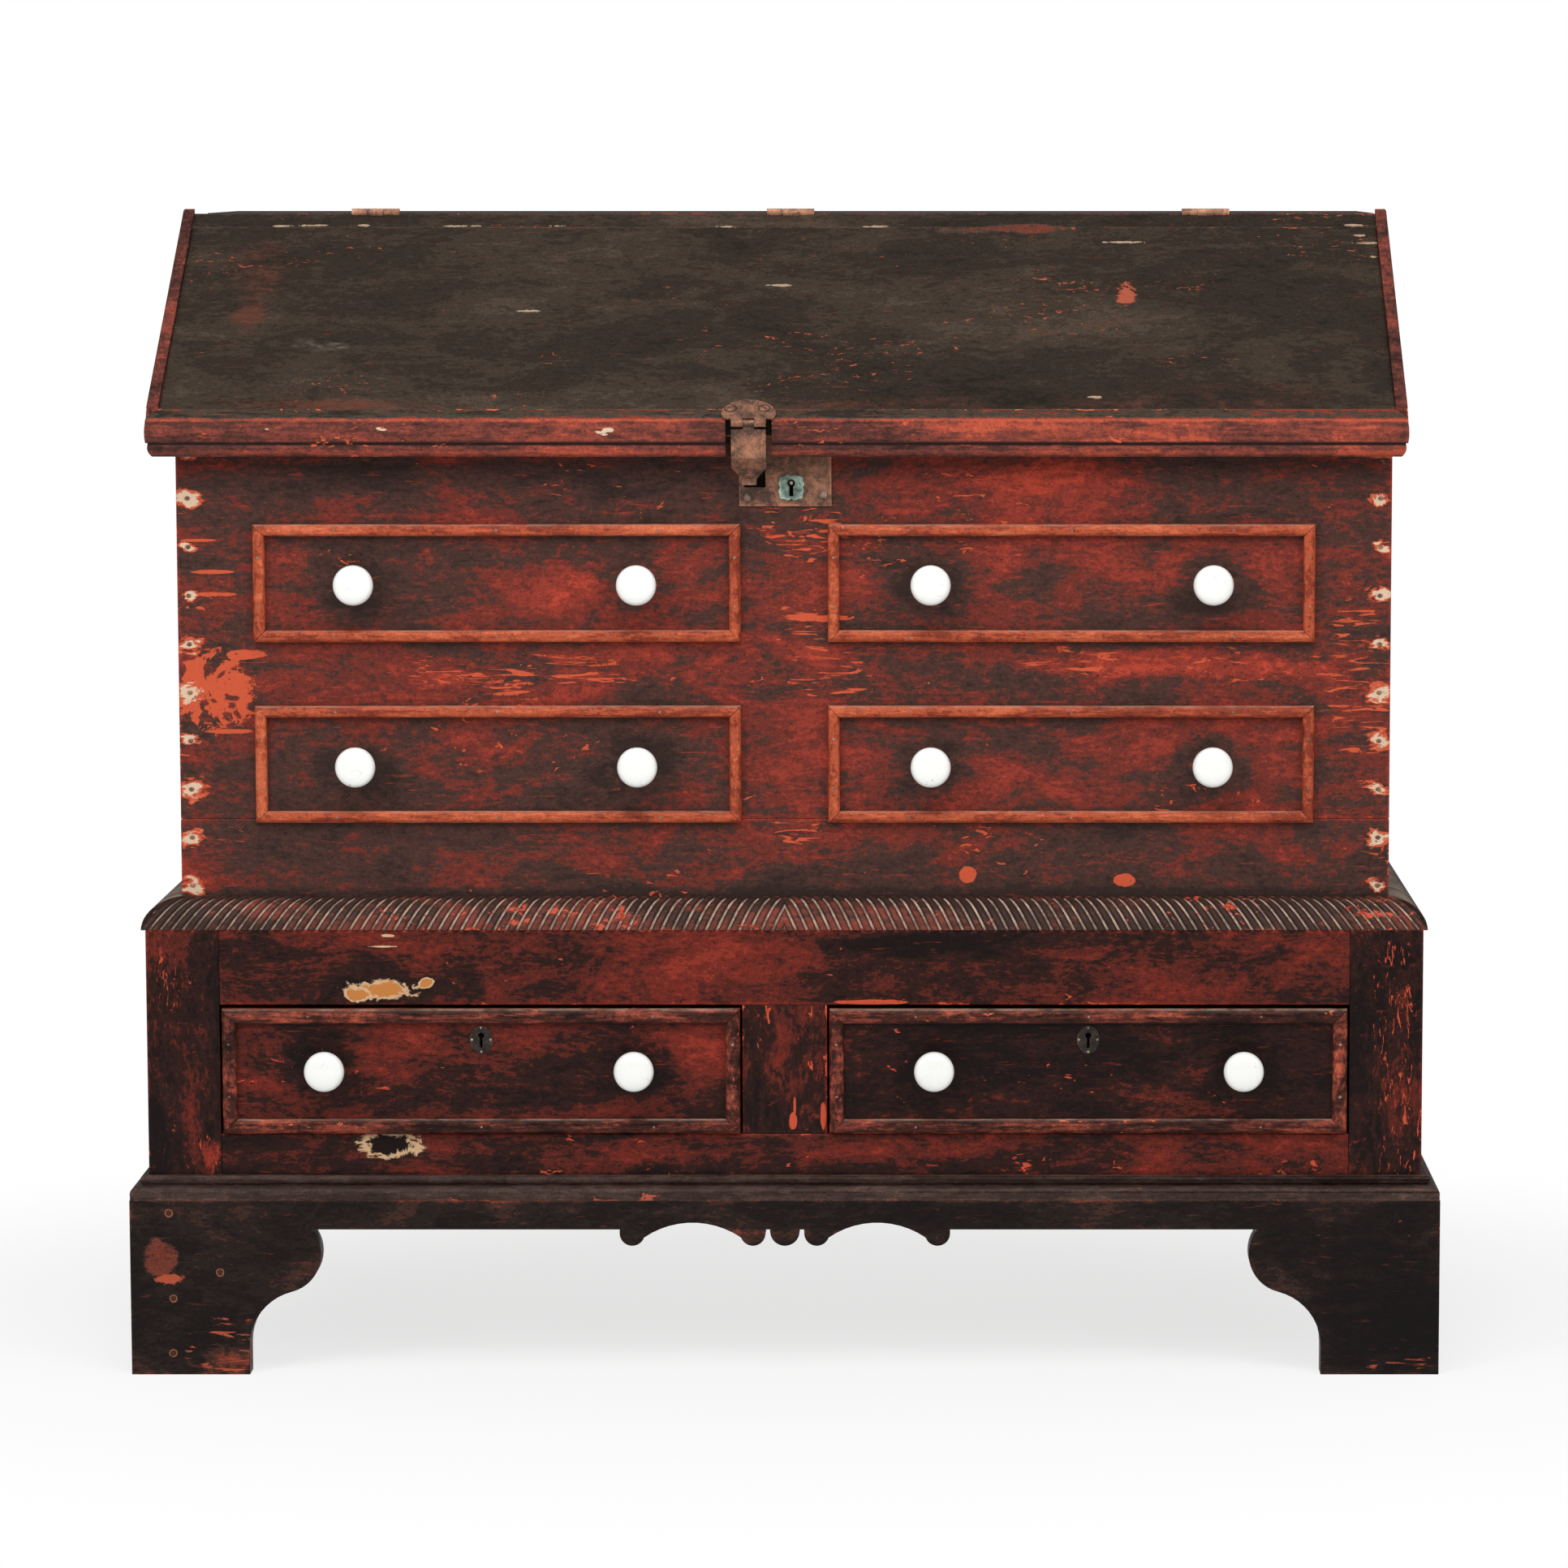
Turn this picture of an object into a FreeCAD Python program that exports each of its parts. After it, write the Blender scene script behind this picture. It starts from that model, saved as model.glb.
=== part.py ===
import FreeCAD
import Part
import math
import os

# Slant-lid chest on a lower case of two drawers, standing on a bracket base.
# Millimetres. X is to the right, Y runs back from the face of the upper front boards, Z is up
# from the floor. Each solid is moved to the middle of the footprint when it is written.

V = FreeCAD.Vector
X_AXIS = V(1, 0, 0)
Y_AXIS = V(0, 1, 0)
Z_AXIS = V(0, 0, 1)
SAME_POINT = 1e-6

# Upper case
UPPER_SETIN = 28.5
UPPER_DEPTH = 450.0
UPPER_HEIGHT = 619.0
UPPER_SIDE = 22.0
FRONT_BOARD = 22.0
FRONT_JOINT = 94.0
TOP_BOARD = 22.0
WELL_FLOOR = 16.0
BACK_BOARD = 12.0
BACK_REBATE = 11.0

# Lower case
LOWER_WIDTH = 1114.0
LOWER_HEIGHT = 236.5
LOWER_FORWARD = 30.0
LOWER_SIDE = 22.0
FACE_FRAME = 22.0
STILE_WIDTH = 64.0
TOP_RAIL = 66.0
BOTTOM_RAIL = 56.5
MUNTIN_WIDTH = 74.0
DUST_BOARD = 20.0
TENON_LENGTH = 18.0
TENON_THICK = 8.0
TENON_SHOULDER = 10.0
RUNNER_LEDGE = 23.0
RUNNER_DEPTH = 20.0
GUIDE_HEIGHT = 20.0

# Bracket base
BASE_HEIGHT = 154.5
BASE_STEP = 15.5
BRACKET_BOARD = 22.0
APRON_HEIGHT = 25.5
FOOT_ANKLE = 103.5
FOOT_SPREAD = 167.0
FOOT_BULGE_R = 34.5
FOOT_COVE_R = 50.0
FOOT_NOTCH = 22.0
REAR_FOOT = 120.0
REAR_FOOT_TOE = 84.0
GLUE_BLOCK = 45.0
GLUE_BLOCK_LIFT = 8.0
PENDANT_HALF = 144.4
PENDANT_DROP = 14.5
PENDANT_ARCH = 6.0
MIDDLE_LOBE = 25.8
LOBE_SLIT = 4.0
LOBE_R = 11.0
LOBE_TURN = 20.0

# Base moulding
BASE_MOULD_REACH = 15.0
BASE_MOULD_HEIGHT = 20.5
BASE_MOULD_FILLET = 4.0
BASE_BEAD = 8.0
BASE_BEAD_REACH = 7.0
BASE_QUIRK = 2.0

# Rope moulding round the foot of the upper case
ROPE_NOSE = 2.0
ROPE_HEIGHT = 26.0
ROPE_GROOVE = 3.0
ROPE_PITCH = 9.3
ROPE_LEAN = 17.0
ROPE_STEPS = 4
RETURN_NOSE = 3.0
RETURN_TOP = 2.0

# Lid
LID_SLOPE = 33.3
LID_RUN = 235.0
LID_BOARD = 20.0
LID_GAP = 1.5
LID_REST = 0.3
LID_OVERHANG = 18.0
LID_SIDE_CLEAR = 1.0
LID_LEFT_CLEAR = 11.5
HINGE_STRIP = 18.0
LIP_THICK = 12.0
LIP_HEIGHT = 33.0
LIP_FACE = 21.0
LIP_ROUND = 3.5
LIP_BELLY = 0.8
LIP_QUIRK = 2.5
LIP_QUIRK_WIDTH = 1.5
LIP_UNDERCUT = 6.0
LIP_NOTCH = 40.0
SIDE_MOULD_THICK = 11.0
SIDE_MOULD_PROUD = 3.5

# Lid hinges
HINGE_LENGTH = 43.0
HINGE_INSET = 152.5
HINGE_RISE = 0.5
BARREL_R = 3.5
LEAF_THICK = 1.8
LEAF_DEPTH = 17.0
PIN_R = 1.5
PIN_CLEAR = 0.05
KNUCKLE_GAP = 0.3
BARREL_CLEAR = 0.5

# Hasp
HASP_X = -29.5
HASP_FORWARD = 3.0
HASP_BARREL_R = 3.15
HASP_BARREL = 30.0
HASP_PIN_R = 1.3
HASP_PLATE = 1.6
HASP_LEAF_WIDTH = 47.0
HASP_LEAF_FOOT = 42.0
HASP_LEAF_NECK = 39.0
HASP_LEAF_WAIST = 12.7
HASP_LEAF_TURN = 21.5
HASP_LEAF_LENGTH = 31.0
STRAP_THICK = 1.8
STRAP_WIDTH = 30.0
STRAP_SHOULDER = 2.0
STRAP_DROP = 29.0
STRAP_TAIL = 20.0
STRAP_BACK = 19.0
STRAP_TIP = 12.6
STRAP_LIFT = 5.0
STRAP_CURL = 3.0
STAPLE_DROP = 14.0
STAPLE_WIDTH = 8.0
STAPLE_HEIGHT = 6.0
STAPLE_ENTRY = 6.0
STAPLE_ROOM = 11.0
STAPLE_EYE = 3.0

# Chest lock
LOCK_PLATE_LEFT = 9.2
LOCK_PLATE_WIDTH = 80.0
LOCK_PLATE_HEIGHT = 62.0
LOCK_PLATE_THICK = 1.6
LOCK_PLATE_DROP = 10.6
LOCK_CASE_INSET = 2.0
LOCK_CASE_DEPTH = 15.0
LOCK_CASE_WALL = 2.0
SLOT_LEFT = 1.0
SLOT_RIGHT = 9.5
KEY_IN = 45.2
KEY_RISE = 20.0
KEY_R = 2.6
KEY_SLOT = 2.4
KEY_LENGTH = 11.0
KEY_DEPTH = 9.0
SHIELD_R = 9.8
SHIELD_LOBES = 8
SHIELD_SCALLOP = 2.25
SHIELD_THICK = 3.0

# Sham drawer frames and knobs on the upper front
SHAM_ROWS = 2
SHAM_MARGIN = 66.5
SHAM_APART = 76.0
SHAM_LOWER = 91.0
SHAM_GAP = 56.0
SHAM_UPPER = 88.4
SHAM_STRIP = 10.0
SHAM_STRIP_THICK = 8.0
SHAM_KNOB_INSET = 89.5
KNOB_REACH = 36.0
KNOB_R = 17.5
KNOB_STEM_R = 8.5
KNOB_NECK_R = 7.0
KNOB_UNDER = 4.0
KNOB_DOME = 12.0
KNOB_EYE_R = 3.0
KNOB_SIDES = 20
KNOB_RINGS = 3
SPINDLE_SIZE = 5.0
SPINDLE_CLEAR = 0.1
SPINDLE_ENTRY = 20.0
NUT_SIZE = 11.0
NUT_THICK = 5.0

# Drawers
DRAWER_SIDE_GAP = 2.0
DRAWER_TOP_GAP = 3.2
DRAWER_FOOT_GAP = 0.8
DRAWER_REST = 0.3
DRAWER_FRONT = 20.0
DRAWER_SIDE = 12.0
DRAWER_SIDE_DROP = 13.7
DRAWER_REAR_GAP = 18.0
DRAWER_BOTTOM = 9.0
BOTTOM_RISE = 8.0
BOTTOM_GROOVE = 6.0
BACK_SETDOWN = 6.0
TAIL_COUNT = 3
TAIL_LENGTH = 13.0
TAIL_ROOT = 14.0
TAIL_FLARE = 4.0
DRAWER_STRIP = 12.5
DRAWER_STRIP_THICK = 7.0
STRIP_QUIRK = 1.0
STRIP_ROUND = 4.0
DRAWER_KNOB_INSET = 91.5
DRAWER_KNOB_LIFT = 2.5
OVAL_WIDTH = 20.0
OVAL_HEIGHT = 25.0
OVAL_THICK = 1.2
OVAL_DROP = 30.5
DRAWER_LOCK_WIDTH = 68.0
DRAWER_LOCK_HEIGHT = 45.0
DRAWER_LOCK_DEPTH = 10.0
SELVAGE_WIDTH = 12.0
SELVAGE_THICK = 2.0
BOLT_MORTISE_WIDTH = 30.0
BOLT_MORTISE_THICK = 6.0
BOLT_MORTISE_DEPTH = 10.0

# Places that follow from the sizes above
lower_half = LOWER_WIDTH / 2
upper_half = lower_half - UPPER_SETIN
base_half = lower_half + BASE_STEP
lower_face = -LOWER_FORWARD
rope_reach = LOWER_FORWARD + ROPE_NOSE
frame_rear = lower_face + FACE_FRAME
base_face = lower_face - BASE_STEP
back_face = UPPER_DEPTH - BACK_BOARD
apron_z = BASE_HEIGHT - APRON_HEIGHT
joint_z = BASE_HEIGHT + LOWER_HEIGHT
top_z = joint_z + UPPER_HEIGHT
opening_low = BASE_HEIGHT + BOTTOM_RAIL
opening_high = joint_z - TOP_RAIL
opening_half = lower_half - STILE_WIDTH
muntin_half = MUNTIN_WIDTH / 2
slope = math.radians(LID_SLOPE)
lid_right = upper_half + LID_SIDE_CLEAR
lid_left = -upper_half - LID_LEFT_CLEAR
lid_rear = LID_RUN - LID_GAP / 2
lid_front = -LID_OVERHANG
lip_face = lid_front - LIP_THICK
hinge_z = top_z + HINGE_RISE
drawer_in = muntin_half + DRAWER_SIDE_GAP
drawer_out = opening_half - DRAWER_SIDE_GAP
drawer_mid = (drawer_in + drawer_out) / 2
drawer_low = opening_low + DRAWER_FOOT_GAP
drawer_high = opening_high - DRAWER_TOP_GAP
drawer_joint = lower_face + DRAWER_FRONT
drawer_rear = back_face - DRAWER_REAR_GAP
centre_y = (lower_face - KNOB_REACH + UPPER_DEPTH) / 2


def box(x, y, z):
    """Block between three pairs of limits."""
    return Part.makeBox(x[1] - x[0], y[1] - y[0], z[1] - z[0], V(x[0], y[0], z[0]))


def about(centre, width):
    """Pair of limits a width apart about a centre."""
    return (centre - width / 2, centre + width / 2)


def rod(x, z, radius, y):
    """Cylinder along Y between a pair of depths."""
    return Part.makeCylinder(radius, y[1] - y[0], V(x, y[0], z), Y_AXIS)


def bar(y, z, radius, x):
    """Cylinder along X between a pair of limits."""
    return Part.makeCylinder(radius, x[1] - x[0], V(x[0], y, z), X_AXIS)


def face_of(path):
    """Plane face inside a closed path; a pair in the path is an arc's middle and end."""
    edges = []
    last = path[0]
    for step in path[1:]:
        if isinstance(step, tuple):
            edges.append(Part.Arc(last, step[0], step[1]).toShape())
            last = step[1]
        else:
            edges.append(Part.makeLine(last, step))
            last = step
    if not last.isEqual(path[0], SAME_POINT):
        edges.append(Part.makeLine(last, path[0]))
    return Part.Face(Part.Wire(edges))


def prism(path, low, high, axis):
    """Closed path drawn at zero and carried straight from low to high along an axis."""
    face = face_of(path)
    face.translate(axis * low)
    return face.extrude(axis * (high - low))


def mirrored(shape):
    """Copy on the other side of the middle plane."""
    return shape.mirror(V(0, 0, 0), X_AXIS)


def pair(shape):
    """Right-hand solid with its left-hand twin."""
    return Part.makeCompound([shape, mirrored(shape)])


def fused(shapes):
    """One solid out of several that meet."""
    return shapes[0].multiFuse(shapes[1:]).removeSplitter()


def cut_by(shape, tools):
    """Solid less every tool."""
    return shape.cut(Part.makeCompound(tools))


def lid_z(y):
    """Height of the lid's upper face over a depth."""
    return top_z - (LID_RUN - y) * math.tan(slope)


def lid_under(y):
    """Height of the lid's under face over a depth."""
    return lid_z(y) - LID_BOARD / math.cos(slope)


def edge_z(y):
    """Height of the case edges that carry the lid."""
    return lid_under(y) - LID_REST


def on_slope(shape, y, z):
    """Shape drawn flat at the origin, tilted to the lid and set at a depth and height."""
    shape.rotate(V(0, 0, 0), X_AXIS, LID_SLOPE)
    shape.translate(V(0, y, z))
    return shape


# Bracket base


def foot_steps(at):
    """Path of a foot from the apron notch to the floor and up its outer edge.

    at(d, z) gives the point at distance d in from the outer edge.
    """
    bulge_d = FOOT_SPREAD - FOOT_BULGE_R
    bulge_z = apron_z - FOOT_NOTCH
    cove_d = FOOT_ANKLE + FOOT_COVE_R
    reach = FOOT_BULGE_R + FOOT_COVE_R
    cove_z = bulge_z - math.sqrt(reach ** 2 - (cove_d - bulge_d) ** 2)
    turn = math.atan2(cove_z - bulge_z, cove_d - bulge_d)
    notch = math.asin(FOOT_NOTCH / FOOT_BULGE_R)

    def on_bulge(angle):
        return at(bulge_d + FOOT_BULGE_R * math.cos(angle), bulge_z + FOOT_BULGE_R * math.sin(angle))

    def on_cove(angle):
        return at(cove_d + FOOT_COVE_R * math.cos(angle), cove_z + FOOT_COVE_R * math.sin(angle))

    return [
        on_bulge(notch),
        (on_bulge((notch + turn) / 2), on_bulge(turn)),
        (on_cove(turn / 2 + math.pi), on_cove(math.pi)),
        at(FOOT_ANKLE, 0),
        at(0, 0),
        at(0, BASE_HEIGHT),
    ]


def pendant_steps():
    """Path along the lobed pendant, from the middle line out to the apron."""
    low = apron_z - PENDANT_DROP
    middle = MIDDLE_LOBE / 2
    inner = middle + LOBE_SLIT
    first = inner + LOBE_R
    last = PENDANT_HALF - LOBE_R
    lobe_z = low + LOBE_R
    out = LOBE_R * math.cos(math.radians(LOBE_TURN))
    down = LOBE_R * math.sin(math.radians(LOBE_TURN))
    bend = math.sqrt(0.5)
    return [
        V(0, 0, low),
        (V(middle * bend, 0, low + middle * (1 - bend)), V(middle, 0, low + middle)),
        V(middle, 0, apron_z),
        V(inner, 0, apron_z),
        V(inner, 0, lobe_z),
        (V(first, 0, low), V(first + out, 0, lobe_z - down)),
        (V((first + last) / 2, 0, apron_z + PENDANT_ARCH), V(last - out, 0, lobe_z - down)),
        (V(last, 0, low), V(PENDANT_HALF, 0, lobe_z)),
        V(PENDANT_HALF, 0, apron_z),
    ]


def front_mitre(half, face, reach, low, high):
    """Plan of a front length that is mitred at both corners of a case."""
    plan = [V(-half, face, 0), V(half, face, 0)]
    plan += [V(half + reach, face - reach, 0), V(-half - reach, face - reach, 0)]
    return prism(plan, low, high, Z_AXIS)


def bracket_mitre():
    """Plan of the front bracket board."""
    inner = base_half - BRACKET_BOARD
    return front_mitre(inner, base_face + BRACKET_BOARD, BRACKET_BOARD, 0, BASE_HEIGHT)


def bracket_front():
    """Front of the base with its two feet and lobed pendant."""
    path = [V(0, 0, BASE_HEIGHT)] + pendant_steps()
    path += foot_steps(lambda d, z: V(base_half - d, 0, z))
    half = prism(path, base_face, base_face + BRACKET_BOARD, Y_AXIS)
    return fused([half, mirrored(half)]).common(bracket_mitre())


def bracket_right():
    """Right side of the base, with a foot at each end."""
    middle = (base_face + UPPER_DEPTH) / 2
    start = [V(0, middle, BASE_HEIGHT), V(0, middle, apron_z)]
    front = start + foot_steps(lambda d, z: V(0, base_face + d, z))
    rear = start + foot_steps(lambda d, z: V(0, UPPER_DEPTH - d, z))
    inner = base_half - BRACKET_BOARD
    halves = [prism(path, inner, base_half, X_AXIS) for path in (front, rear)]
    return fused(halves).cut(bracket_mitre())


def rear_foot():
    """Plain right-hand board that braces the back of the rear foot."""
    outer = base_half - BRACKET_BOARD
    inner = base_half - REAR_FOOT
    toe = base_half - REAR_FOOT_TOE
    path = [V(outer, 0, 0), V(outer, 0, BASE_HEIGHT), V(inner, 0, BASE_HEIGHT)]
    path += [V(inner, 0, apron_z), V(toe, 0, 0)]
    return prism(path, UPPER_DEPTH - BRACKET_BOARD, UPPER_DEPTH, Y_AXIS)


def glue_blocks():
    """Blocks in the four corners of the base."""
    outer = base_half - BRACKET_BOARD
    front = base_face + BRACKET_BOARD
    rear = UPPER_DEPTH - BRACKET_BOARD
    x = (outer - GLUE_BLOCK, outer)
    z = (GLUE_BLOCK_LIFT, BASE_HEIGHT)
    right = [box(x, (front, front + GLUE_BLOCK), z), box(x, (rear - GLUE_BLOCK, rear), z)]
    return Part.makeCompound(right + [mirrored(block) for block in right])


# Mouldings


def base_section(at):
    """Section of the base moulding; at(p, h) is reach p from the case and height h."""
    bead_low = BASE_MOULD_HEIGHT - BASE_BEAD
    neck = BASE_BEAD_REACH - BASE_QUIRK
    out = (BASE_MOULD_REACH + BASE_BEAD_REACH) / 2 + BASE_QUIRK
    up = (BASE_MOULD_FILLET + bead_low) / 2 + BASE_QUIRK
    return [
        at(0, 0),
        at(BASE_MOULD_REACH, 0),
        at(BASE_MOULD_REACH, BASE_MOULD_FILLET),
        (at(out, up), at(BASE_BEAD_REACH, bead_low - BASE_QUIRK / 2)),
        at(neck, bead_low - BASE_QUIRK / 2),
        at(neck, bead_low),
        (at(BASE_BEAD_REACH, bead_low + BASE_BEAD / 2), at(neck, BASE_MOULD_HEIGHT)),
        at(0, BASE_MOULD_HEIGHT),
    ]


def return_section(at):
    """Section of the plain returns that carry the rope moulding back along the sides."""
    return [
        at(0, 0),
        at(rope_reach, 0),
        at(rope_reach, RETURN_NOSE),
        at(RETURN_TOP, ROPE_HEIGHT),
        at(0, ROPE_HEIGHT),
    ]


def side_return(section, half, face, reach, low, high):
    """Right-hand return of a moulding, from its front mitre to the back of the case."""
    length = prism(section(lambda p, h: V(half + p, 0, low + h)), face - reach, UPPER_DEPTH, Y_AXIS)
    return length.cut(front_mitre(half, face, reach, low, high))


def base_moulding():
    """Front length and both returns of the base moulding."""
    high = BASE_HEIGHT + BASE_MOULD_HEIGHT
    wide = lower_half + BASE_MOULD_REACH
    front = prism(base_section(lambda p, h: V(0, lower_face - p, BASE_HEIGHT + h)), -wide, wide, X_AXIS)
    front = front.common(front_mitre(lower_half, lower_face, BASE_MOULD_REACH, BASE_HEIGHT, high))
    right = side_return(base_section, lower_half, lower_face, BASE_MOULD_REACH, BASE_HEIGHT, high)
    return Part.makeCompound([front, right, mirrored(right)])


def rope_section(inner, outer):
    """Slanting section of the strands, a zigzag from groove to crown at each pitch."""
    into = V(0, 1, -1).normalize()
    edge = []
    for strand in range(math.ceil((outer - inner) / ROPE_PITCH) + 1):
        groove = inner + strand * ROPE_PITCH
        edge.append(V(groove, 0, 0) + into * ROPE_GROOVE)
        edge.append(V(groove + ROPE_PITCH / 2, 0, 0))
    back = [edge[-1] + into * (rope_reach + ROPE_HEIGHT), edge[0] + into * (rope_reach + ROPE_HEIGHT)]
    return face_of(edge + back)


def rope_point(step):
    """Point up the quarter round; the strands lean to the middle as they climb."""
    share = step / ROPE_STEPS
    turn = share * math.pi / 2
    return V(-ROPE_LEAN * share, -rope_reach * math.cos(turn), joint_z + ROPE_HEIGHT * math.sin(turn))


def rope_front():
    """Rope moulding across the front, its strands reversing at the middle."""
    wide = upper_half + rope_reach
    lengths = []
    for step in range(ROPE_STEPS):
        section = rope_section(-ROPE_PITCH, wide + ROPE_LEAN)
        section.translate(rope_point(step))
        lengths.append(section.extrude(rope_point(step + 1) - rope_point(step)))
    wound = lengths[0].multiFuse(lengths[1:])
    right = wound.common(box((0, 2 * wide), (-rope_reach, 0), (joint_z, joint_z + ROPE_HEIGHT)))
    whole = right.fuse(mirrored(right))
    return whole.common(front_mitre(upper_half, 0, rope_reach, joint_z, joint_z + ROPE_HEIGHT))


def rope_returns():
    """Plain side returns of the rope moulding."""
    return pair(side_return(return_section, upper_half, 0, rope_reach, joint_z, joint_z + ROPE_HEIGHT))


def strip_section(at, width, thick):
    """Section of a half-round strip; at(s, d) is s in from its outer edge and d off the face."""
    crown = width - STRIP_QUIRK
    edge = thick - STRIP_ROUND
    return [
        at(0, 0),
        at(0, edge),
        (at(crown / 2, thick), at(crown, edge)),
        at(crown, STRIP_QUIRK),
        at(width, STRIP_QUIRK),
        at(width, 0),
    ]


def strip_frame(x, z, face, width, thick):
    """Four strips mitred round a rectangle on a face."""
    left, right = x
    low, high = z
    reach = (face - thick, face)

    def across(edge, inward):
        path = strip_section(lambda s, d: V(0, face - d, edge + inward * s), width, thick)
        plan = [V(left, 0, edge), V(right, 0, edge)]
        plan += [V(right - width, 0, edge + inward * width), V(left + width, 0, edge + inward * width)]
        return prism(path, left, right, X_AXIS).common(prism(plan, reach[0], reach[1], Y_AXIS))

    def upright(edge, inward):
        path = strip_section(lambda s, d: V(edge + inward * s, face - d, 0), width, thick)
        plan = [V(edge, 0, low), V(edge, 0, high)]
        plan += [V(edge + inward * width, 0, high - width), V(edge + inward * width, 0, low + width)]
        return prism(path, low, high, Z_AXIS).common(prism(plan, reach[0], reach[1], Y_AXIS))

    return fused([across(low, 1), across(high, -1), upright(left, 1), upright(right, -1)])


# Lower case


def lower_side():
    """Right side board, rebated for the back."""
    z = (BASE_HEIGHT, joint_z)
    board = box((lower_half - LOWER_SIDE, lower_half), (frame_rear, UPPER_DEPTH), z)
    return board.cut(box((lower_half - LOWER_SIDE, lower_half - BACK_REBATE), (back_face, UPPER_DEPTH), z))


def lower_back():
    """Back board let into the sides."""
    half = lower_half - BACK_REBATE
    return box((-half, half), (back_face, UPPER_DEPTH), (BASE_HEIGHT, joint_z))


def lower_top():
    """Board that closes the lower case and carries the upper one."""
    half = lower_half - LOWER_SIDE
    return box((-half, half), (frame_rear, back_face), (joint_z - DUST_BOARD, joint_z))


def tenon_depth():
    """Depths between which the tenons of the face frame lie."""
    return about((lower_face + frame_rear) / 2, TENON_THICK)


def rail_tenon(z):
    """Right-hand tenon of a rail between two heights."""
    x = (opening_half, opening_half + TENON_LENGTH)
    return box(x, tenon_depth(), (z[0] + TENON_SHOULDER, z[1] - TENON_SHOULDER))


def muntin_tenon(z, up):
    """Tenon on the upper or lower end of the muntin."""
    half = muntin_half - TENON_SHOULDER
    return box((-half, half), tenon_depth(), (z, z + TENON_LENGTH) if up else (z - TENON_LENGTH, z))


def stiles():
    """Pair of stiles mortised for the rails."""
    stile = box((opening_half, lower_half), (lower_face, frame_rear), (BASE_HEIGHT, joint_z))
    tenons = [rail_tenon((BASE_HEIGHT, opening_low)), rail_tenon((opening_high, joint_z))]
    return pair(cut_by(stile, tenons))


def rail(z, mortises):
    """Rail of the face frame with its tenons and mortises."""
    board = box((-opening_half, opening_half), (lower_face, frame_rear), z)
    tenon = rail_tenon(z)
    return cut_by(fused([board, tenon, mirrored(tenon)]), mortises)


def top_rail():
    """Rail over the drawers, mortised for the muntin and for the drawer lock bolts."""
    y = about(drawer_joint - DRAWER_LOCK_DEPTH / 2, BOLT_MORTISE_THICK)
    bolt = box(about(drawer_mid, BOLT_MORTISE_WIDTH), y, (opening_high, opening_high + BOLT_MORTISE_DEPTH))
    return rail((opening_high, joint_z), [muntin_tenon(opening_high, True), bolt, mirrored(bolt)])


def bottom_rail():
    """Rail under the drawers."""
    return rail((BASE_HEIGHT, opening_low), [muntin_tenon(opening_low, False)])


def muntin():
    """Upright between the drawers."""
    board = box((-muntin_half, muntin_half), (lower_face, frame_rear), (opening_low, opening_high))
    return fused([board, muntin_tenon(opening_high, True), muntin_tenon(opening_low, False)])


def bearers(ledge, z):
    """Three lengths behind the frame: one at each side and one behind the muntin."""
    y = (frame_rear, back_face)
    right = box((opening_half - ledge, lower_half - LOWER_SIDE), y, z)
    middle = box((-muntin_half - ledge, muntin_half + ledge), y, z)
    return [right, middle, mirrored(right)]


def drawer_runners():
    """Runners that carry the drawers."""
    return Part.makeCompound(bearers(RUNNER_LEDGE, (opening_low - RUNNER_DEPTH, opening_low)))


def drawer_guides():
    """Guides beside the drawers and kickers over them."""
    guides = bearers(0, (opening_low, opening_low + GUIDE_HEIGHT))
    kickers = bearers(RUNNER_LEDGE, (opening_high, opening_high + RUNNER_DEPTH))
    return Part.makeCompound(guides + kickers)


# Upper case


def upper_side():
    """Right side board with its slanted upper edge."""
    flat = top_z - TOP_BOARD
    turn = LID_RUN - (top_z - flat - LID_BOARD / math.cos(slope) - LID_REST) / math.tan(slope)
    path = [V(0, FRONT_BOARD, joint_z), V(0, UPPER_DEPTH, joint_z), V(0, UPPER_DEPTH, flat)]
    path += [V(0, turn, flat), V(0, FRONT_BOARD, edge_z(FRONT_BOARD))]
    inner = upper_half - UPPER_SIDE
    board = prism(path, inner, upper_half, X_AXIS)
    rebate = box((inner, upper_half - BACK_REBATE), (back_face, UPPER_DEPTH), (joint_z, flat))
    return board.cut(rebate)


def upper_back():
    """Back board let into the sides under the top."""
    half = upper_half - BACK_REBATE
    return box((-half, half), (back_face, UPPER_DEPTH), (joint_z, top_z - TOP_BOARD))


def well_floor():
    """Floor of the chest well."""
    half = upper_half - UPPER_SIDE
    return box((-half, half), (FRONT_BOARD, back_face), (joint_z, joint_z + WELL_FLOOR))


def sham_x():
    """Inner and outer limits of the right-hand sham drawers."""
    return (SHAM_APART / 2, upper_half - SHAM_MARGIN)


def sham_z(row):
    """Heights of a row of sham drawers, which share the front below the lid."""
    room = edge_z(0) - joint_z - SHAM_LOWER - SHAM_UPPER
    height = (room - (SHAM_ROWS - 1) * SHAM_GAP) / SHAM_ROWS
    low = joint_z + SHAM_LOWER + row * (height + SHAM_GAP)
    return (low, low + height)


def sham_knob_places():
    """Places of the knobs on the sham drawers."""
    inner, outer = sham_x()
    places = []
    for row in range(SHAM_ROWS):
        z = sum(sham_z(row)) / 2
        for side in (-1, 1):
            places += [(side * x, z) for x in (inner + SHAM_KNOB_INSET, outer - SHAM_KNOB_INSET)]
    return places


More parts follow.
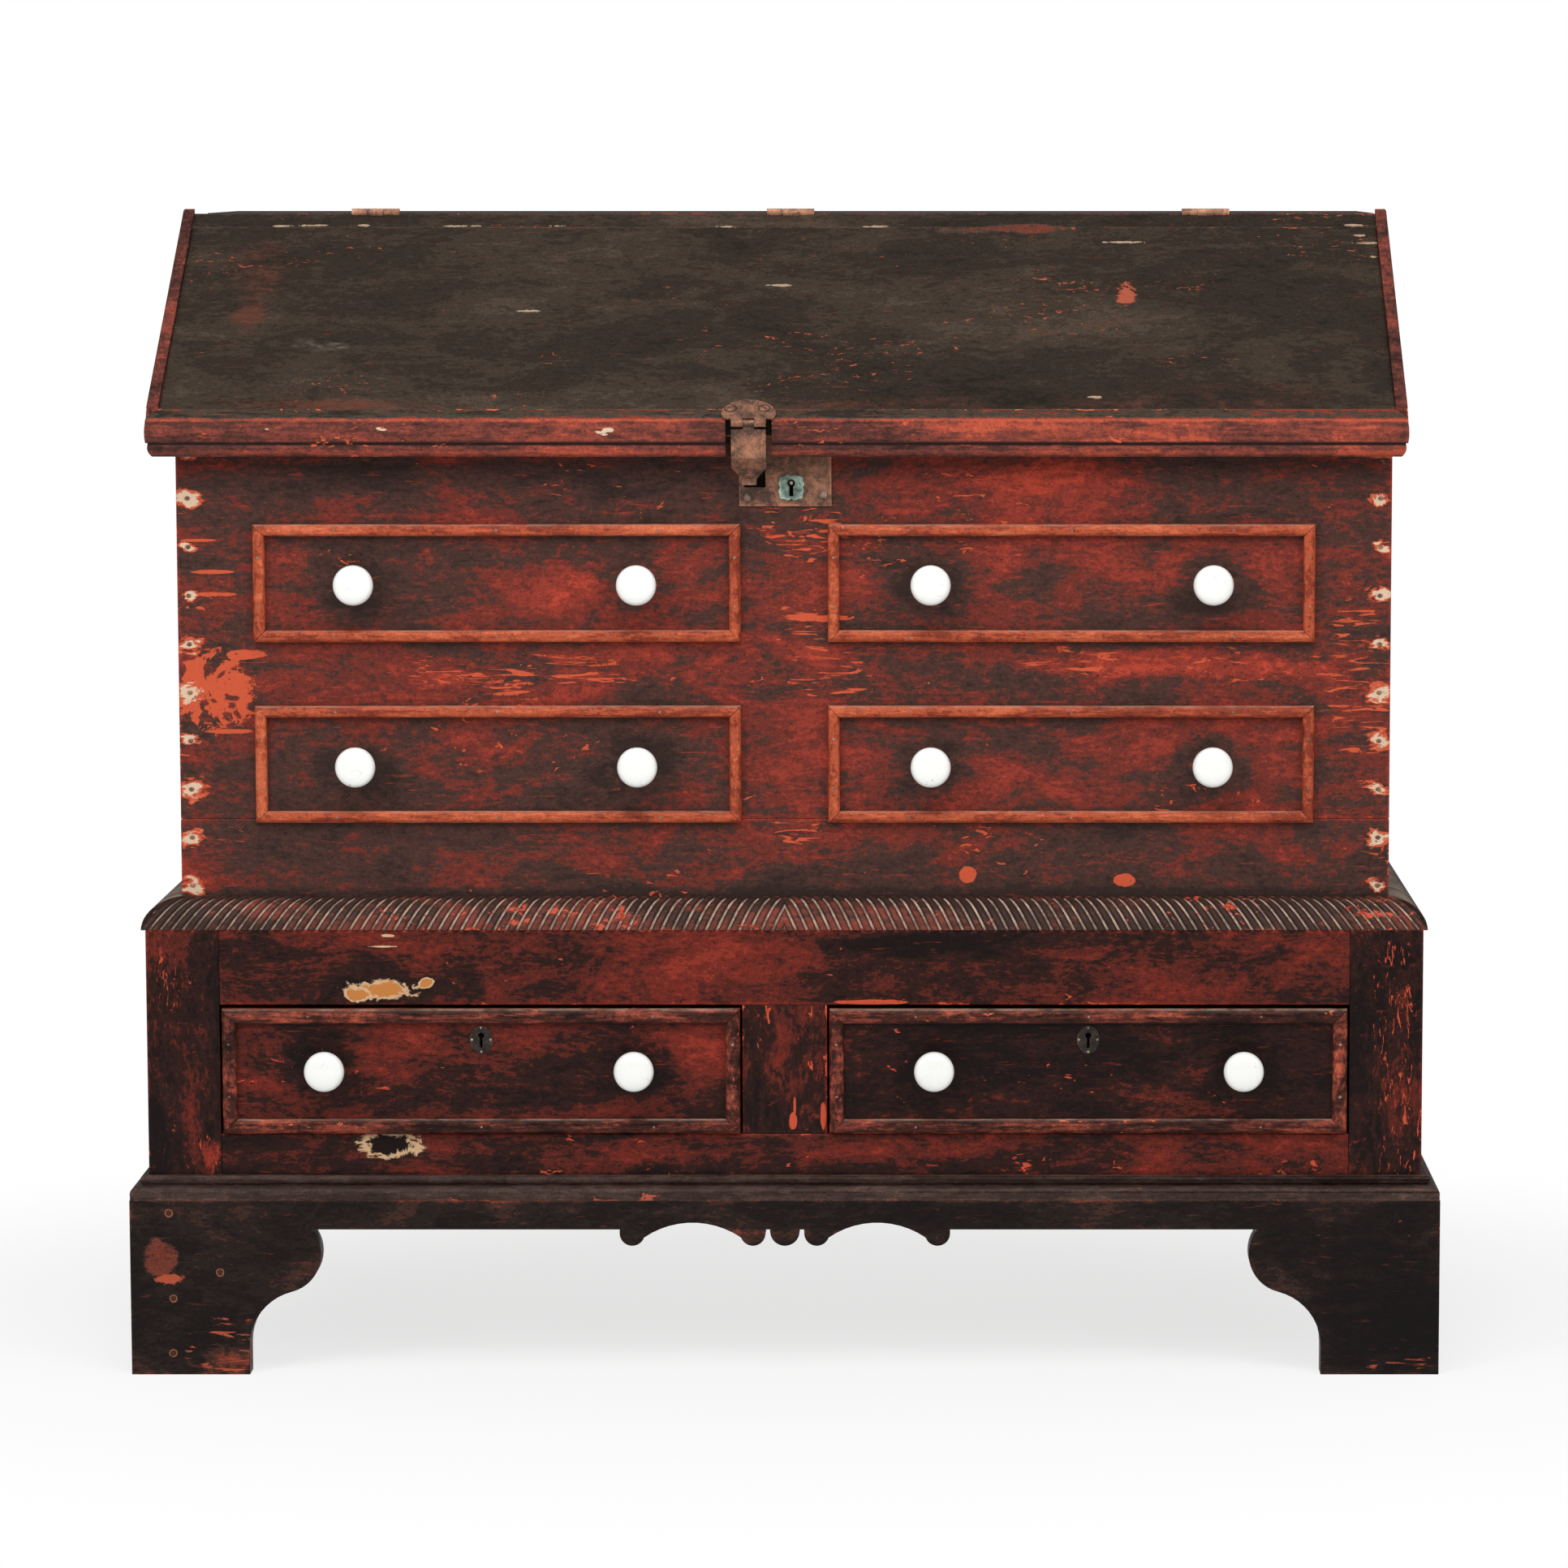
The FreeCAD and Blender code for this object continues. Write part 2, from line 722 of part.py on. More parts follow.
def front_board(low, high):
    """Length of the upper front between two heights; the top one meets the lid on a bevel."""
    path = [V(0, 0, low), V(0, FRONT_BOARD, low)]
    if high is None:
        path += [V(0, FRONT_BOARD, edge_z(FRONT_BOARD)), V(0, 0, edge_z(0))]
    else:
        path += [V(0, FRONT_BOARD, high), V(0, 0, high)]
    board = prism(path, -upper_half, upper_half, X_AXIS)
    holes = [spindle(x, z, (0, FRONT_BOARD), SPINDLE_CLEAR) for x, z in sham_knob_places()]
    return cut_by(board, holes)


def front_board_upper():
    """Wide front board, mortised for the chest lock."""
    return front_board(joint_z + FRONT_JOINT, None).cut(lock_block())


def front_board_lower():
    """Narrow front board behind the rope moulding."""
    return front_board(joint_z, joint_z + FRONT_JOINT)


def hinge_places():
    """Places of the lid hinges along the top."""
    end = upper_half - HINGE_INSET
    return [-end, 0, end]


def leaf_plate(x, side):
    """Plate of a hinge leaf; side is 1 on the top board and -1 on the lid."""
    near = LID_RUN + side * LID_GAP / 2
    far = near + side * LEAF_THICK
    return box(about(x, HINGE_LENGTH), (min(near, far), max(near, far)), (top_z - LEAF_DEPTH, hinge_z))


def hinge_gain(x, side):
    """Recess for a hinge leaf and its barrel."""
    barrel = bar(LID_RUN, hinge_z, BARREL_R + BARREL_CLEAR, about(x, HINGE_LENGTH + 2 * BARREL_CLEAR))
    return leaf_plate(x, side).fuse(barrel)


def top_board():
    """Fixed flat top behind the lid, recessed for the hinges."""
    front = LID_RUN + LID_GAP / 2
    board = box((-upper_half, upper_half), (front, UPPER_DEPTH), (top_z - TOP_BOARD, top_z))
    return cut_by(board, [hinge_gain(x, 1) for x in hinge_places()])


def sham_frames(row):
    """Left and right sham drawer frames of a row."""
    return pair(strip_frame(sham_x(), sham_z(row), 0, SHAM_STRIP, SHAM_STRIP_THICK))


# Knobs


def spindle(x, z, y, clear):
    """Square shank of a knob's spindle between two depths, with room round it."""
    size = SPINDLE_SIZE + 2 * clear
    return box(about(x, size), y, about(z, size))


def knob_ring(radius, depth):
    """Corners of a many-sided ring of a knob at a depth in front of its foot."""
    turns = [2 * math.pi * side / KNOB_SIDES for side in range(KNOB_SIDES)]
    return [V(radius * math.cos(turn), -depth, radius * math.sin(turn)) for turn in turns]


def knob_flats(low, high):
    """Flat faces between two rings of a knob."""
    after = low[1:] + low[:1]
    above = high[1:] + high[:1]
    return [face_of(list(corners)) for corners in zip(low, after, above, high)]


def knob(x, z, face):
    """Domed knob on a stem, in a few rings of flats, with a socket for its spindle."""
    rim = KNOB_REACH - KNOB_DOME
    rings = [knob_ring(KNOB_STEM_R, 0), knob_ring(KNOB_NECK_R, rim - KNOB_UNDER)]
    for ring in range(KNOB_RINGS):
        turn = ring / KNOB_RINGS * math.pi / 2
        rings.append(knob_ring(KNOB_R * math.cos(turn), rim + KNOB_DOME * math.sin(turn)))
    rings.append(knob_ring(KNOB_EYE_R, KNOB_REACH))
    faces = [face_of(rings[0]), face_of(rings[-1])]
    for low, high in zip(rings, rings[1:]):
        faces += knob_flats(low, high)
    shape = Part.Solid(Part.Shell(faces))
    shape.translate(V(x, face, z))
    return shape.cut(spindle(x, z, (face - SPINDLE_ENTRY, face), SPINDLE_CLEAR))


def knob_spindle(x, z, face, board):
    """Spindle from the knob through a board, with its square nut behind."""
    shank = spindle(x, z, (face - SPINDLE_ENTRY, face + board), 0)
    nut = box(about(x, NUT_SIZE), (face + board, face + board + NUT_THICK), about(z, NUT_SIZE))
    return fused([shank, nut])


def sham_knobs():
    """Knobs of the sham drawers."""
    return Part.makeCompound([knob(x, z, 0) for x, z in sham_knob_places()])


def sham_knob_spindles():
    """Spindles of the sham drawers' knobs."""
    return Part.makeCompound([knob_spindle(x, z, 0, FRONT_BOARD) for x, z in sham_knob_places()])


# Chest lock


def keyhole(x, z, y):
    """Keyhole cut between two depths; z is the middle of its round."""
    slot = box(about(x, KEY_SLOT), y, (z - KEY_LENGTH, z))
    return rod(x, z, KEY_R, y).fuse(slot)


def lock_x():
    """Limits of the lock plate, set out from the hasp."""
    left = HASP_X - LOCK_PLATE_LEFT
    return (left, left + LOCK_PLATE_WIDTH)


def key_place():
    """Place of the round of the chest's keyhole."""
    return lock_x()[0] + KEY_IN, lock_low() + KEY_RISE


def lock_low():
    """Height of the lower edge of the lock plate, set down from the lid."""
    return edge_z(0) - LOCK_PLATE_DROP - LOCK_PLATE_HEIGHT


def lock_block():
    """Space of the lock case behind its plate."""
    left, right = lock_x()
    low = lock_low() + LOCK_CASE_INSET
    high = lock_low() + LOCK_PLATE_HEIGHT - LOCK_CASE_INSET
    return box((left + LOCK_CASE_INSET, right - LOCK_CASE_INSET), (0, LOCK_CASE_DEPTH), (low, high))


def staple_slot(y):
    """Slot for the hasp staple, tall enough for the hasp and the lid to carry it out."""
    low = staple_z() - STAPLE_HEIGHT / 2 - STAPLE_ROOM
    high = staple_z() + STAPLE_HEIGHT / 2 + STAPLE_ROOM
    left, right = about(HASP_X, STAPLE_WIDTH)
    return box((left - SLOT_LEFT, right + SLOT_RIGHT), y, (low, high))


def lock_plate():
    """Face plate of the lock with its keyhole and staple slot."""
    y = (-LOCK_PLATE_THICK, 0)
    plate = box(lock_x(), y, (lock_low(), lock_low() + LOCK_PLATE_HEIGHT))
    return cut_by(plate, [staple_slot(y), keyhole(*key_place(), y)])


def lock_case():
    """Case of the lock, open where the staple and the key go in."""
    staple = staple_slot((0, LOCK_CASE_DEPTH - LOCK_CASE_WALL))
    return cut_by(lock_block(), [staple, keyhole(*key_place(), (0, KEY_DEPTH))])


def lock_shield():
    """Scalloped plate round the keyhole."""
    back = -LOCK_PLATE_THICK
    x, key_z = key_place()
    z = key_z - KEY_LENGTH / 3
    step = 2 * math.pi / SHIELD_LOBES
    crown = SHIELD_R * math.cos(step / 2) + SHIELD_SCALLOP

    def at(radius, angle):
        return V(x + radius * math.cos(angle), 0, z + radius * math.sin(angle))

    path = [at(SHIELD_R, step / 2)]
    for turn in range(SHIELD_LOBES):
        angle = turn * step + step
        path.append((at(crown, angle), at(SHIELD_R, angle + step / 2)))
    last = path.pop()
    path.append((last[0], path[0]))
    plate = prism(path, back - SHIELD_THICK, back, Y_AXIS)
    return plate.cut(keyhole(x, key_z, (back - SHIELD_THICK, back)))


# Lid


def lid_length(front, rear):
    """Piece of the lid board between two plumb edges."""
    path = [V(0, front, lid_under(front)), V(0, rear, lid_under(rear)), V(0, rear, lid_z(rear))]
    path += [V(0, front, lid_z(front))]
    return prism(path, lid_left, lid_right, X_AXIS)


def lid_board():
    """Main board of the lid."""
    return lid_length(lid_front, lid_rear - HINGE_STRIP)


def lid_hinge_strip():
    """Strip glued to the upper edge of the lid, recessed for the hinges."""
    strip = lid_length(lid_rear - HINGE_STRIP, lid_rear)
    return cut_by(strip, [hinge_gain(x, -1) for x in hinge_places()])


def lip_section(at, thick, rise):
    """Section of the lid's edge moulding; at(t, v) is t out from the lid and v up from the arris."""
    inside = thick - LIP_ROUND
    bend = LIP_ROUND * (1 - math.sqrt(0.5))
    belly = thick - LIP_BELLY
    quirk = thick - LIP_QUIRK
    under = LIP_FACE + LIP_QUIRK_WIDTH
    bead = (LIP_HEIGHT - under) / 2
    return [
        at(0, -LIP_HEIGHT),
        at(0, rise),
        at(inside, rise * LIP_ROUND / thick),
        (at(thick - bend, -bend), at(belly, -LIP_ROUND)),
        (at(thick, -(LIP_ROUND + LIP_FACE) / 2), at(belly, -LIP_FACE)),
        at(quirk, -LIP_FACE),
        at(quirk, -under),
        (at(quirk, -under - bead), at(thick - LIP_UNDERCUT, -LIP_HEIGHT)),
    ]


def left_end(right):
    """Mirror image of a piece at the lid's right end, set at its left end."""
    left = mirrored(right)
    left.translate(V(lid_left + lid_right, 0, 0))
    return left


def lid_lip():
    """Front lip in two lengths, either side of the hasp."""
    arris = lid_z(lip_face)
    rise = lid_z(lid_front) - arris
    y = (lip_face, lid_front)
    front = lip_section(lambda t, v: V(0, lid_front - t, arris + v), LIP_THICK, rise)
    end = lip_section(lambda t, v: V(lid_right + t, 0, arris + v), SIDE_MOULD_THICK, rise)
    end = prism(end, y[0], y[1], Y_AXIS)
    middle = box((lid_left, lid_right), y, (arris - LIP_HEIGHT, arris + rise))
    envelope = fused([middle, end, left_end(end)])
    notch = box(about(HASP_X, LIP_NOTCH), y, (arris - LIP_HEIGHT, arris + rise))
    x = (lid_left - SIDE_MOULD_THICK, lid_right + SIDE_MOULD_THICK)
    return prism(front, x[0], x[1], X_AXIS).common(envelope).cut(notch)


def lid_side_mouldings():
    """Mouldings down both sides of the lid."""
    long = 2 * LID_RUN + 2 * LID_OVERHANG
    section = lip_section(lambda t, v: V(lid_right + t, 0, SIDE_MOULD_PROUD + v), SIDE_MOULD_THICK, 0)
    right = on_slope(prism(section, -long, long, Y_AXIS), LID_RUN, top_z)
    x = (lid_right, lid_right + SIDE_MOULD_THICK)
    right = right.common(box(x, (lid_front, lid_rear), (joint_z, 2 * top_z)))
    return Part.makeCompound([right, left_end(right)])


def knuckles(x, length, gap):
    """Spans of the two outer knuckles and the middle one of a barrel."""
    third = length / 3
    outer = [(x - length / 2, x - third / 2 - gap / 2), (x + third / 2 + gap / 2, x + length / 2)]
    return outer, (x - third / 2 + gap / 2, x + third / 2 - gap / 2)


def top_hinge_leaf(x):
    """Leaf on the top board with the outer knuckles and the pin."""
    outer, middle = knuckles(x, HINGE_LENGTH, KNUCKLE_GAP)
    span = (middle[0] - KNUCKLE_GAP, middle[1] + KNUCKLE_GAP)
    plate = leaf_plate(x, 1).cut(bar(LID_RUN, hinge_z, BARREL_R + KNUCKLE_GAP, span))
    barrels = [bar(LID_RUN, hinge_z, BARREL_R, knuckle) for knuckle in outer]
    return fused([plate, bar(LID_RUN, hinge_z, PIN_R, span)] + barrels)


def lid_hinge_leaf(x):
    """Leaf on the lid with the middle knuckle, bored for the pin."""
    outer, middle = knuckles(x, HINGE_LENGTH, KNUCKLE_GAP)
    room = [bar(LID_RUN, hinge_z, BARREL_R + KNUCKLE_GAP, (low - KNUCKLE_GAP, high + KNUCKLE_GAP))
            for low, high in outer]
    leaf = fused([cut_by(leaf_plate(x, -1), room), bar(LID_RUN, hinge_z, BARREL_R, middle)])
    return leaf.cut(bar(LID_RUN, hinge_z, PIN_R + PIN_CLEAR, middle))


# Hasp


def hasp_axis():
    """Depth and height of the hasp's pin, under the line of the lid's face."""
    y = lip_face - HASP_FORWARD
    below = (HASP_BARREL_R - HASP_PLATE) / math.cos(slope)
    return y, lid_z(y) - below


def staple_z():
    """Height of the staple, behind the middle of the strap's tail."""
    return hasp_axis()[1] - STRAP_DROP - STAPLE_DROP


def hasp_leaf():
    """Oval leaf on the lid with the outer knuckles and the pin of the hasp."""
    y, z = hasp_axis()
    outer, middle = knuckles(0, HASP_BARREL, KNUCKLE_GAP)
    low = HASP_BARREL_R - HASP_PLATE
    foot = HASP_LEAF_FOOT / 2
    half = HASP_LEAF_WIDTH / 2
    lap = HASP_FORWARD / math.cos(slope)
    neck = HASP_LEAF_NECK / 2
    path = [
        V(-foot, lap, 0),
        V(foot, lap, 0),
        (V(half, HASP_LEAF_WAIST, 0), V(neck, HASP_LEAF_TURN, 0)),
        (V(0, HASP_LEAF_LENGTH, 0), V(-neck, HASP_LEAF_TURN, 0)),
        (V(-half, HASP_LEAF_WAIST, 0), V(-foot, lap, 0)),
    ]
    plate = prism(path, low, HASP_BARREL_R, Z_AXIS)
    tongues = [box(span, (0, lap), (low, HASP_BARREL_R)) for span in outer]
    barrels = [bar(0, 0, HASP_BARREL_R, span) for span in outer]
    span = (middle[0] - KNUCKLE_GAP, middle[1] + KNUCKLE_GAP)
    leaf = fused([plate] + tongues + barrels).cut(bar(0, 0, HASP_BARREL_R + KNUCKLE_GAP, span))
    leaf = fused([leaf, bar(0, 0, HASP_PIN_R, span)])
    leaf = on_slope(leaf, y, z)
    leaf.translate(V(HASP_X, 0, 0))
    return leaf


def hasp_strap():
    """Strap that hangs from the pin, kicks back to the lock and carries the staple."""
    y, z = hasp_axis()
    outer, middle = knuckles(HASP_X, HASP_BARREL, KNUCKLE_GAP)
    half = STRAP_THICK / 2
    bend = z - STRAP_DROP
    tail = bend - STRAP_TAIL
    tip = y + STRAP_BACK
    path = [
        V(0, y - half, z),
        V(0, y + half, z),
        V(0, y + half, bend + half),
        V(0, tip + half, tail),
        V(0, tip - STRAP_CURL, tail - STRAP_LIFT),
        V(0, tip - STRAP_CURL - STRAP_THICK, tail - STRAP_LIFT),
        V(0, tip - STRAP_THICK, tail),
        V(0, y - half, bend - half),
    ]
    plate = prism(path, HASP_X - STRAP_WIDTH / 2, HASP_X + STRAP_WIDTH / 2, X_AXIS)
    wide = STRAP_WIDTH / 2
    narrow = STRAP_TIP / 2
    shoulder = bend - STRAP_TAIL / 2
    outline = [V(HASP_X - wide, 0, z), V(HASP_X + wide, 0, z), V(HASP_X + wide, 0, shoulder)]
    outline += [V(HASP_X + narrow, 0, tail), V(HASP_X + narrow, 0, tail - STRAP_LIFT)]
    outline += [V(HASP_X - narrow, 0, tail - STRAP_LIFT), V(HASP_X - narrow, 0, tail)]
    outline += [V(HASP_X - wide, 0, shoulder)]
    plate = plate.common(prism(outline, y - LIP_HEIGHT, y + 2 * LIP_HEIGHT, Y_AXIS))
    room = [bar(y, z, HASP_BARREL_R + STRAP_SHOULDER, (low - KNUCKLE_GAP, high + KNUCKLE_GAP))
            for low, high in outer]
    plate = cut_by(plate, room)
    root = y + (bend - staple_z()) / STRAP_TAIL * STRAP_BACK
    staple_y = (root, STAPLE_ENTRY)
    staple = box(about(HASP_X, STAPLE_WIDTH), staple_y, about(staple_z(), STAPLE_HEIGHT))
    eye_z = about(staple_z(), STAPLE_EYE)
    eye = box(about(HASP_X, 2 * STAPLE_WIDTH), about(STAPLE_ENTRY / 2, STAPLE_EYE), eye_z)
    bore = bar(y, z, HASP_PIN_R + PIN_CLEAR, about(HASP_X, 2 * HASP_BARREL))
    barrel = bar(y, z, HASP_BARREL_R, middle)
    return cut_by(plate.multiFuse([barrel, staple]), [eye, bore]).removeSplitter()


# Drawers, drawn on the right of the muntin


def drawer_side_z():
    """Heights of the drawer sides."""
    return (opening_low + DRAWER_REST, opening_high - DRAWER_SIDE_DROP)


def bottom_z():
    """Heights of the drawer bottom."""
    low = drawer_side_z()[0] + BOTTOM_RISE
    return (low, low + DRAWER_BOTTOM)


def drawer_sides_x():
    """Limits of the inner and outer drawer sides."""
    return [(drawer_in, drawer_in + DRAWER_SIDE), (drawer_out - DRAWER_SIDE, drawer_out)]


def drawer_tails(x):
    """Dovetails on the front end of a drawer side."""
    low, high = drawer_side_z()
    step = (high - low) / TAIL_COUNT
    tip = drawer_joint - TAIL_LENGTH
    tails = []
    for tail in range(TAIL_COUNT):
        z = low + (tail + 0.5) * step
        root = TAIL_ROOT / 2
        wide = root + TAIL_FLARE / 2
        path = [V(0, drawer_joint, z - root), V(0, drawer_joint, z + root)]
        path += [V(0, tip, z + wide), V(0, tip, z - wide)]
        tails.append(prism(path, x[0], x[1], X_AXIS))
    return tails


def drawer_bottom():
    """Bottom board in its grooves."""
    x = (drawer_in + DRAWER_SIDE - BOTTOM_GROOVE, drawer_out - DRAWER_SIDE + BOTTOM_GROOVE)
    return box(x, (drawer_joint - BOTTOM_GROOVE, drawer_rear), bottom_z())


def drawer_knob_places():
    """Places of the knobs on a drawer."""
    z = (opening_low + opening_high) / 2 + DRAWER_KNOB_LIFT
    return [(drawer_in + DRAWER_KNOB_INSET, z), (drawer_out - DRAWER_KNOB_INSET, z)]


def oval_z():
    """Height of the middle of the oval keyhole plate."""
    return opening_high - OVAL_DROP


def drawer_lock():
    """Lock let into the drawer front, with its selvage on the top edge."""
    x = about(drawer_mid, DRAWER_LOCK_WIDTH)
    case_y = (drawer_joint - DRAWER_LOCK_DEPTH, drawer_joint)
    case = box(x, case_y, (drawer_high - DRAWER_LOCK_HEIGHT, drawer_high))
    edge_y = (drawer_joint - SELVAGE_WIDTH, drawer_joint)
    selvage = box(x, edge_y, (drawer_high - SELVAGE_THICK, drawer_high))
    return case.fuse(selvage).removeSplitter()


def drawer_front():
    """Drawer front with its dovetail sockets, groove, keyhole, lock mortise and spindle holes."""
    y = (lower_face, drawer_joint)
    board = box((drawer_in, drawer_out), y, (drawer_low, drawer_high))
    tools = [tail for x in drawer_sides_x() for tail in drawer_tails(x)]
    tools += [drawer_bottom(), drawer_lock()]
    tools += [spindle(x, z, y, SPINDLE_CLEAR) for x, z in drawer_knob_places()]
    tools.append(keyhole(drawer_mid, oval_z() + KEY_LENGTH / 3, y))
    for tool in tools:
        board = board.cut(tool)
    return board


def drawer_sides():
    """Both drawer sides with their dovetails and grooves."""
    sides = []
    for x in drawer_sides_x():
        board = box(x, (drawer_joint, drawer_rear), drawer_side_z())
        sides.append(fused([board] + drawer_tails(x)).cut(drawer_bottom()))
    return Part.makeCompound(sides)


def drawer_back():
    """Drawer back, standing on the bottom between the sides."""
    x = (drawer_in + DRAWER_SIDE, drawer_out - DRAWER_SIDE)
    y = (drawer_rear - DRAWER_SIDE, drawer_rear)
    return box(x, y, (bottom_z()[1], drawer_side_z()[1] - BACK_SETDOWN))


def drawer_frame():
    """Half-round frame on the edge of the drawer front."""
    z = (drawer_low, drawer_high)
    return strip_frame((drawer_in, drawer_out), z, lower_face, DRAWER_STRIP, DRAWER_STRIP_THICK)


def drawer_knobs():
    """Knobs of a drawer."""
    return Part.makeCompound([knob(x, z, lower_face) for x, z in drawer_knob_places()])


def drawer_knob_spindles():
    """Spindles of a drawer's knobs."""
    return Part.makeCompound([knob_spindle(x, z, lower_face, DRAWER_FRONT) for x, z in drawer_knob_places()])


def drawer_oval():
    """Oval plate round the drawer's keyhole."""
    middle = V(drawer_mid, lower_face, oval_z())
    rim = Part.Ellipse(middle + V(0, 0, OVAL_HEIGHT / 2), middle + V(OVAL_WIDTH / 2, 0, 0), middle)
    plate = Part.Face(Part.Wire([rim.toShape()])).extrude(V(0, -OVAL_THICK, 0))
    y = (lower_face - OVAL_THICK, lower_face)
    return plate.cut(keyhole(drawer_mid, oval_z() + KEY_LENGTH / 3, y))


def drawer_pieces():
    """Pieces of the right-hand drawer by name."""
    return {
        "front": drawer_front(),
        "sides": drawer_sides(),
        "back": drawer_back(),
        "bottom": drawer_bottom(),
        "frame": drawer_frame(),
        "knobs": drawer_knobs(),
        "knob_spindles": drawer_knob_spindles(),
        "keyhole_plate": drawer_oval(),
        "lock": drawer_lock(),
    }


def pieces():
    """Every piece of the chest by name."""
    bracket = bracket_right()
    side = lower_side()
    wall = upper_side()
    named = {
        "bracket_base_front": bracket_front(),
        "bracket_base_right": bracket,
        "bracket_base_left": mirrored(bracket),
        "rear_foot_brackets": pair(rear_foot()),
        "foot_glue_blocks": glue_blocks(),
        "base_moulding": base_moulding(),
        "lower_side_right": side,
        "lower_side_left": mirrored(side),
        "lower_back": lower_back(),
        "lower_top": lower_top(),
        "front_stiles": stiles(),
        "top_rail": top_rail(),
        "bottom_rail": bottom_rail(),
        "centre_muntin": muntin(),
        "drawer_runners": drawer_runners(),
        "drawer_guides": drawer_guides(),
        "rope_moulding": rope_front(),
        "rope_moulding_returns": rope_returns(),
        "upper_side_right": wall,
        "upper_side_left": mirrored(wall),
        "upper_back": upper_back(),
        "well_floor": well_floor(),
        "front_board_upper": front_board_upper(),
        "front_board_lower": front_board_lower(),
        "top_board": top_board(),
        "sham_frames_lower": sham_frames(0),
        "sham_frames_upper": sham_frames(1),
        "sham_knobs": sham_knobs(),
        "sham_knob_spindles": sham_knob_spindles(),
        "lock_plate": lock_plate(),
        "lock_case": lock_case(),
        "lock_keyhole_plate": lock_shield(),
        "top_hinge_leaves": Part.makeCompound([top_hinge_leaf(x) for x in hinge_places()]),
        "lid_board": lid_board(),
        "lid_hinge_strip": lid_hinge_strip(),
        "lid_lip": lid_lip(),
        "lid_side_mouldings": lid_side_mouldings(),
        "lid_hinge_leaves": Part.makeCompound([lid_hinge_leaf(x) for x in hinge_places()]),
        "hasp_leaf": hasp_leaf(),
        "hasp_strap": hasp_strap(),
    }
    for name, shape in drawer_pieces().items():
        named["drawer_right_" + name] = shape
        named["drawer_left_" + name] = mirrored(shape)
    return named


def write_pieces():
    """Write one file per piece, about the middle of the footprint."""
    os.makedirs("parts", exist_ok=True)
    for name, shape in pieces().items():
        shape.translate(V(0, -centre_y, 0))
        shape.exportStep("parts/" + name + ".step")


write_pieces()
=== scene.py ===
"""Slant-lid chest over two drawers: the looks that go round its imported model."""

import logging
import math
import random
from dataclasses import dataclass, field, replace
from enum import Enum
from typing import Callable, Iterable, Optional, Sequence, Union

import bmesh
import bpy
from mathutils import Matrix, Vector


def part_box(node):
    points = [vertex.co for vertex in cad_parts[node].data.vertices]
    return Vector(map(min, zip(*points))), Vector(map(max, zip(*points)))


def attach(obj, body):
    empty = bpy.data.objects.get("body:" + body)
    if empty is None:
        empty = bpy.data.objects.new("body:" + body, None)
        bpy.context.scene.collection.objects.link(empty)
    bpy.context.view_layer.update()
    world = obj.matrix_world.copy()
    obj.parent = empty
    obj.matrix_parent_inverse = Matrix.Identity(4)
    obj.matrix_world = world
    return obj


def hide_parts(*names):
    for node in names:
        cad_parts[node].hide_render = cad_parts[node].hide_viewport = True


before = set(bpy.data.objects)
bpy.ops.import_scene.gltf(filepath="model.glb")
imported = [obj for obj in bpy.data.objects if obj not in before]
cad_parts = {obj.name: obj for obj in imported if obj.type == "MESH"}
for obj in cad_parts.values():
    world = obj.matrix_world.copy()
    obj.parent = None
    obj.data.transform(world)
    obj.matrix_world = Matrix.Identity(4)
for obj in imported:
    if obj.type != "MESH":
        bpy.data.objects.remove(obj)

LOG = logging.getLogger("chest")
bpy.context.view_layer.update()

Colour = tuple[float, float, float, float]
Point = tuple[float, float, float]
Row = Sequence[float]
Socket = bpy.types.NodeSocket
Input = Union[float, Row, Socket]
Mesh = bmesh.types.BMesh
Material = bpy.types.Material
Piece = bpy.types.Object

# Directions, and places in metres from the middle of the chest and the floor
FRONTWARD: Point = (0.0, -1.0, 0.0)
LID_SLOPE = math.radians(33.3)
LID_OUT: Point = (0.0, -math.sin(LID_SLOPE), math.cos(LID_SLOPE))
LID_TOP: Point = (0.0, 0.043, 1.010)
SHAM_KNOB_X = (-0.3725, -0.1275, 0.1275, 0.3725)
SHAM_KNOB_Z = (0.53325, 0.69175)
DRAWER_KNOB_X = (0.1305, 0.3995)
DRAWER_KNOB_Z = 0.2705
SIDES = (("left", -1), ("right", 1))


def shade(red: float, green: float, blue: float) -> Colour:
    """Turns a colour as it is seen into the renderer's linear colour.

    Args:
        red: red from 0 to 255.
        green: green from 0 to 255.
        blue: blue from 0 to 255.

    Returns:
        The linear colour with full alpha.
    """
    shares = [value / 255.0 for value in (red, green, blue)]
    return (*(s / 12.92 if s <= 0.04045 else ((s + 0.055) / 1.055) ** 2.4 for s in shares), 1.0)


class Grain(Enum):
    """The way a board's grain runs, as the stretch of its pattern."""

    ACROSS = (0.45, 1.0, 1.0)
    DEEP = (1.0, 0.45, 1.0)
    UPRIGHT = (1.0, 1.0, 0.45)

    def along(self, stretch: float) -> Point:
        """Gives another stretch along the same grain."""
        return tuple(stretch if s < 1 else 1.0 for s in self.value)


class Loss(Enum):
    """What shows where the paint has gone."""

    FRESH_RED = "fresh_red"
    BARE_WOOD = "bare_wood"
    THIN_RED = "thin_red"
    DUST = "dust"


class Break(Enum):
    """How a loss is broken up: its noise's stretch along the grain, scale and threshold."""

    WHOLE = None
    FLAKES = (0.8, 34.0, 0.44)
    DASHES = (0.14, 170.0, 0.585)
    SPLINTERS = (0.2, 330.0, 0.615)


class Slot(Enum):
    """The record's material slots."""

    RED_PAINT = "red_painted_wood"
    IRON = "iron"
    BRASS = "brass"
    PORCELAIN = "porcelain"


